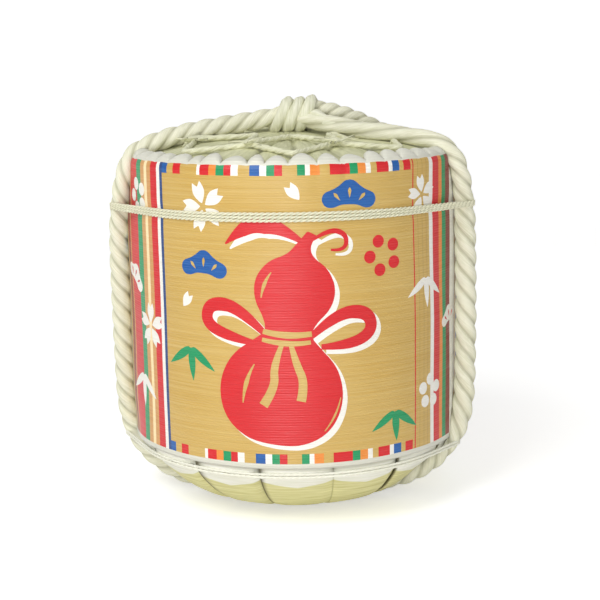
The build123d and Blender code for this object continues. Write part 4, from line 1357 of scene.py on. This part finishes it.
def wound_route(drum, height, turns, pitch, squeeze, gather=(0.0, 0.0), sag=0.0):
    """A cord's turns round the wall and the rope at both sides, from the back, as a route."""
    ring = circle(0, 0, drum, 72)
    for side in (-1, 1):
        x, y, _ = rope_at(height, side)
        ring = np.vstack([ring, circle(x, y, ROPE / 2 * squeeze + pitch / 2 + 0.2, 24)])
    ring = hull(ring)
    ring = ring[np.argsort(np.arctan2(ring[:, 0], -ring[:, 1]))]
    progress = np.linspace(0, 1, len(ring), endpoint=False)
    climb = np.where(progress < 0.25, progress * 2 - 0.5, np.where(progress > 0.75, progress * 2 - 1.5, 0.0))
    route = []
    for number in range(turns):
        aside = ring[:, 0] / WALL
        spread = pitch * (1 - np.where(aside < 0, *gather) * aside**2)
        level = height + (number - (turns - 1) / 2 + climb) * spread - sag * aside**2
        route.append(np.column_stack([ring, level]))
    return np.vstack(route)


# %% Waist and base cords
WAIST_DRUM = WALL - SHEET_INSET - WAIST_PULL + CORD / 2
waist_route = wound_route(
    WAIST_DRUM, WAIST + 0.4, turns=3, pitch=CORD - 0.2, squeeze=0.78, gather=(0.22, 0.45), sag=1.9
)
waist_line = smooth_line(waist_route, 1.3)
waist_tube = laid_tube(waist_line, CORD, strands=2, lay=-11.0, sides=12, strand_share=0.64)
add_laid("waist_binding", waist_tube, cord_fibre, "waist_cord")

BASE_CORD, BASE_CORD_HEIGHT, BASE_CORD_SINK = 2.9, 61.8, 1.4
BASE_DRUM = MAT + BASE_CORD / 2 - BASE_CORD_SINK
base_route = wound_route(BASE_DRUM, BASE_CORD_HEIGHT, turns=2, pitch=BASE_CORD, squeeze=0.8)
base_line = smooth_line(base_route, 1.3)
base_tube = laid_tube(base_line, BASE_CORD, strands=2, lay=-12.0, sides=12, strand_share=0.72)
add_laid("base_binding", base_tube, pale_fibre, "base_cord")
for label, line in (("waist", waist_line), ("base", base_line)):
    print(f"{label} cord: {run_along(line)[-1]:.0f} mm")

# %% [markdown]
# The top mat is laced down in two rounds. The outer cord zigzags from stitches at the rim to
# loops further in, and the inner cord hooks over those loops and runs in to the middle.

# %% Lacing
LACES, LACE, BEND_RUN, BACK_GAP = 8, 6.2, 14.0, 5
STITCH, LOOP, HOOK, INNER = 149.0, 106.0, 118.0, 50.0
LACE_SEAT = LACE / 2 - 0.4


def lace_point(radius, turn, rise=0.0):
    """The middle of a lacing cord on the dome, or above it by rise."""
    return around(radius, turn, crown_height(radius, turn) + LACE_SEAT + rise)


def toward(first, second, distance):
    """A point at a distance from the first of two, on the way to the second."""
    first, second = np.array(first), np.array(second)
    return first + (second - first) * distance / np.linalg.norm(second - first)


def zigzag(outer, inner, rise_outer, rise_inner):
    """A zigzag from the back all round to near its start, with a short straight run at each bend."""
    corners = []
    for number in range(LACES):
        turn = 180 + number * 360 / LACES
        corners.append(lace_point(outer, turn + (BACK_GAP if number == 0 else 0), rise_outer))
        corners.append(lace_point(inner, turn + 180 / LACES, rise_inner))
    corners.append(lace_point(outer, 180 + 360 - BACK_GAP, rise_outer))
    route = [corners[0]]
    for first, second in zip(corners, corners[1:]):
        route += [toward(first, second, BEND_RUN), toward(second, first, BEND_RUN), second]
    return route


print(f"lacing: {LACES} stitches round the top, cord {LACE} mm")

# %% Loose straws and both lacings
STRAWS, STRAW, STRAW_SPREAD = 3, 3.0, 2.4
LACE_FULL, LACE_UNEVEN = 0.94, 0.1
end_rng = np.random.default_rng(5)


def straw_ends(radius, rise):
    """Loose straws where the lacings meet, their places spread so that no groove's shade falls on them."""
    tubes = []
    for number in range(LACES * STRAWS):
        turn = 180 + (number // STRAWS + 0.5) * 360 / LACES
        reach, swing = radius + end_rng.uniform(-16, 16), end_rng.uniform(-11, 11)
        first = lace_point(radius, turn, rise)
        last = lace_point(reach, turn + swing, rise + end_rng.uniform(0.5, 4.0))
        line = smooth_line([first, (first + last) / 2 + (0, 0, 1.5), last], 1.4)
        thinning = np.linspace(1.1, 0.55, len(line))
        points, faces, places = laid_tube(
            line, STRAW, strands=2, lay=-40.0, sides=8, strand_share=0.7, swell=thinning
        )
        tubes.append((points, faces, places * STRAW_SPREAD))
    return tubes


for label, node, route, ends in (
    ("outer_lacing", "top_lacing_outer", zigzag(STITCH, LOOP, 3.0, 0.0), straw_ends(LOOP, 1.5)),
    ("inner_lacing", "top_lacing_inner", zigzag(INNER, HOOK, 0.0, 4.0), straw_ends(HOOK, 4.0)),
):
    line = pressed_by_rope(smooth_line(route, 1.4), LACE / 2)
    steps = np.arange(len(line))
    rough = LACE_FULL + LACE_UNEVEN * np.sin(steps * 0.31) * np.sin(steps * 0.083)
    lace = laid_tube(line, LACE, strands=3, lay=-34.0, sides=18, strand_share=0.66, swell=rough)
    lacing = joined([lace, *ends])
    add_laid(label, lacing, lace_fibre, node)

# %% [markdown]
# Under the print an inner mat of upright straws goes round the hoops, and two straw pads fill the
# spaces above the lid and under the cask. They are soft, so they are modelled as straw and not
# left as plain solids.

# %% Inner straw
INNER_STRAWS, INNER_RIDGE, INNER_PLAY, INNER_INSET = 180, 0.35, 0.6, 0.7
INNER_FINENESS, INNER_DRAW = 40, 0.02
INNER_FOOT, INNER_MOUTH = 158.6, 166.9
inner_low, inner_high = frame_box("inner_mat")
straw_turns = np.linspace(-180, 180, 4 * INNER_STRAWS, endpoint=False)
straw_wave = INNER_RIDGE * np.abs(np.sin(np.radians(straw_turns) * INNER_STRAWS))
inner_heights = np.linspace(inner_low[2], inner_high[2], 13)
inner_wall = np.interp(inner_heights, inner_heights[[0, -1]], [INNER_FOOT, INNER_MOUTH])
inner_skin = inner_high[0] - INNER_INSET + straw_wave
inner_net = [around(inner_skin, straw_turns, height) for height in inner_heights]
for height, radius in zip(inner_heights[::-3], inner_wall[::-3]):
    inner_net.append(around(radius + INNER_PLAY, straw_turns, height))
inner_net = np.stack(inner_net)
inner_place = lay_round(straw_turns, INNER_FINENESS, inner_net[..., 2] * INNER_DRAW)
inner_piece = add_piece(
    "inner_straw_mat",
    inner_net,
    closed_net(inner_net),
    [pad_straw],
    ["inner_mat"],
    marks={"lay_place": inner_place.reshape(-1, 3)},
)

# %% [markdown]
# A pad starts as a copy of its plain solid. A remesh gives it even faces, and then it is ruffled and
# drawn in where the rope and the base press on it.

# %% Straw pads
PAD_VOXEL, PAD_RUFFLE, PAD_INSET, PAD_CLEAR = 4.0, 0.5, 9.0, 7.0
FOOT_LEVEL = 80.0
for node, label in (("top_straw_pad", "top_pad"), ("base_straw_pad", "base_pad")):
    pad = bpy.data.objects.new(label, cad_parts[node].data.copy())
    bpy.context.scene.collection.objects.link(pad)
    pad.data.materials.clear()
    pad.data.materials.append(pad_straw)
    remesh = pad.modifiers.new("even", "REMESH")
    remesh.mode, remesh.voxel_size = "VOXEL", PAD_VOXEL * MM
    shaped = bpy.data.meshes.new_from_object(pad.evaluated_get(bpy.context.evaluated_depsgraph_get()))
    pad.modifiers.clear()
    pad.data = shaped
    places = np.array([vertex.co for vertex in shaped.vertices]) / MM
    x, y, _ = places.T
    ruffle = PAD_RUFFLE * np.sin(x / 3.1 + 2 * np.sin(y / 9)) * np.sin(y / 4.3)
    normals = np.array([vertex.normal for vertex in shaped.vertices])
    places = places - normals * (PAD_RUFFLE + ruffle)[:, None]
    x, y, z = places.T
    drawn = np.interp(z, skirt_profile[:-1, 1][::-1], skirt_profile[:-1, 0][::-1]) - PAD_INSET
    drawn = drawn - heel_pinch(np.degrees(np.arctan2(x, -y)), z)
    share = np.minimum(1.0, np.where(z < FOOT_LEVEL, drawn / np.maximum(np.hypot(x, y), 1.0), 1.0))
    places = pressed_by_rope(places * np.column_stack([share, share, np.ones(len(share))]), PAD_CLEAR)
    shaped.vertices.foreach_set("co", (places * MM).astype(np.float32).ravel())
    straws = (places * (0.5, 0.05, 0.5)).astype(np.float32)
    shaped.attributes.new("lay_place", "FLOAT_VECTOR", "POINT").data.foreach_set("vector", straws.ravel())
    shaped.polygons.foreach_set("use_smooth", [True] * len(shaped.polygons))
    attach(pad, "root")
    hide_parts(node)
    print(f"{label}: {len(shaped.vertices)} points")

# %% [markdown]
# A pale sweep of paper stands behind and under the barrel, and soft lamps light it from the front.
# The world gives an even light from all sides, as a white tent does.

# %% Paper sweep
SWEEP_HALF, SWEEP_FRONT, SWEEP_BACK, SWEEP_BEND, SWEEP_HIGH = 4000.0, -2600.0, 1800.0, 700.0, 3200.0
PAPER_GLOW = 0.46
bend = np.radians(np.linspace(0, 90, 12))
sweep_profile = [(SWEEP_FRONT, 0.0)]
sweep_profile += [(SWEEP_BACK + SWEEP_BEND * math.sin(a), SWEEP_BEND * (1 - math.cos(a))) for a in bend]
sweep_profile.append((SWEEP_BACK + SWEEP_BEND, SWEEP_HIGH))
sweep_points = [(x, y, z) for y, z in sweep_profile for x in (-SWEEP_HALF, SWEEP_HALF)]
sweep_mesh = bpy.data.meshes.new("paper_sweep")
sweep_faces = net_faces(len(sweep_profile), 2).tolist()
sweep_mesh.from_pydata((np.array(sweep_points) * MM).tolist(), [], sweep_faces)
sweep_mesh.polygons.foreach_set("use_smooth", [True] * len(sweep_mesh.polygons))
sweep = bpy.data.objects.new("paper_sweep", sweep_mesh)
bpy.context.scene.collection.objects.link(sweep)
paper, paper_tree, paper_shader = start_finish("paper", 0.9, Specular_IOR_Level=0.1)
paper_place = add_node(paper_tree, "ShaderNodeTexCoord").outputs["Object"]
paper_cloud = fill_group(paper_tree, patches, {"Place": paper_place, "Scale": 1.5})
paper_tones = colour(250, 250, 250), colour(253, 253, 252)
paper_tone = blend_colours(paper_tree, paper_cloud["Patch"], *paper_tones)
paper_tree.links.new(paper_tone, paper_shader.inputs["Base Color"])
ray = add_node(paper_tree, "ShaderNodeLightPath").outputs
seen = ray["Is Camera Ray"]
for kind in ("Is Glossy Ray", "Is Transmission Ray"):
    seen = reckon(paper_tree, "MAXIMUM", seen, ray[kind])
glow = reckon(paper_tree, "MULTIPLY", seen, PAPER_GLOW)
paper_shader.inputs["Emission Color"].default_value = (1, 1, 1, 1)
paper_tree.links.new(glow, paper_shader.inputs["Emission Strength"])
sweep_mesh.materials.append(paper)
print("paper sweep:", len(sweep_mesh.polygons), "faces")


# %% Lamps and world
def soft_lamp(name, place, aim, size, watts):
    """A square lamp that looks from its place at a point."""
    lamp = bpy.data.objects.new(name, bpy.data.lights.new(name, "AREA"))
    lamp.data.energy, lamp.data.size = watts, size
    bpy.context.scene.collection.objects.link(lamp)
    lamp.location = place
    lamp.rotation_mode = "QUATERNION"
    lamp.rotation_quaternion = (Vector(aim) - Vector(place)).to_track_quat("-Z", "Y")


soft_lamp("key_lamp", (-0.9, -1.4, 1.9), (0, 0, 0.24), size=1.2, watts=24)
soft_lamp("fill_lamp", (1.5, -1.4, 0.9), (0, 0, 0.2), size=1.2, watts=2)
soft_lamp("low_lamp", (-0.3, -2.0, 0.32), (0, 0, 0.2), size=0.6, watts=12)
TENT_LIGHT = 0.42
world = bpy.data.worlds.new("white_tent")
world.use_nodes = True
bpy.context.scene.world = world
tent = world.node_tree.nodes["Background"].inputs
tent["Color"].default_value = (1, 1, 1, 1)
tent["Strength"].default_value = TENT_LIGHT
bpy.context.scene.view_settings.view_transform = "Standard"
print("lamps:", [light.name for light in bpy.data.lights])
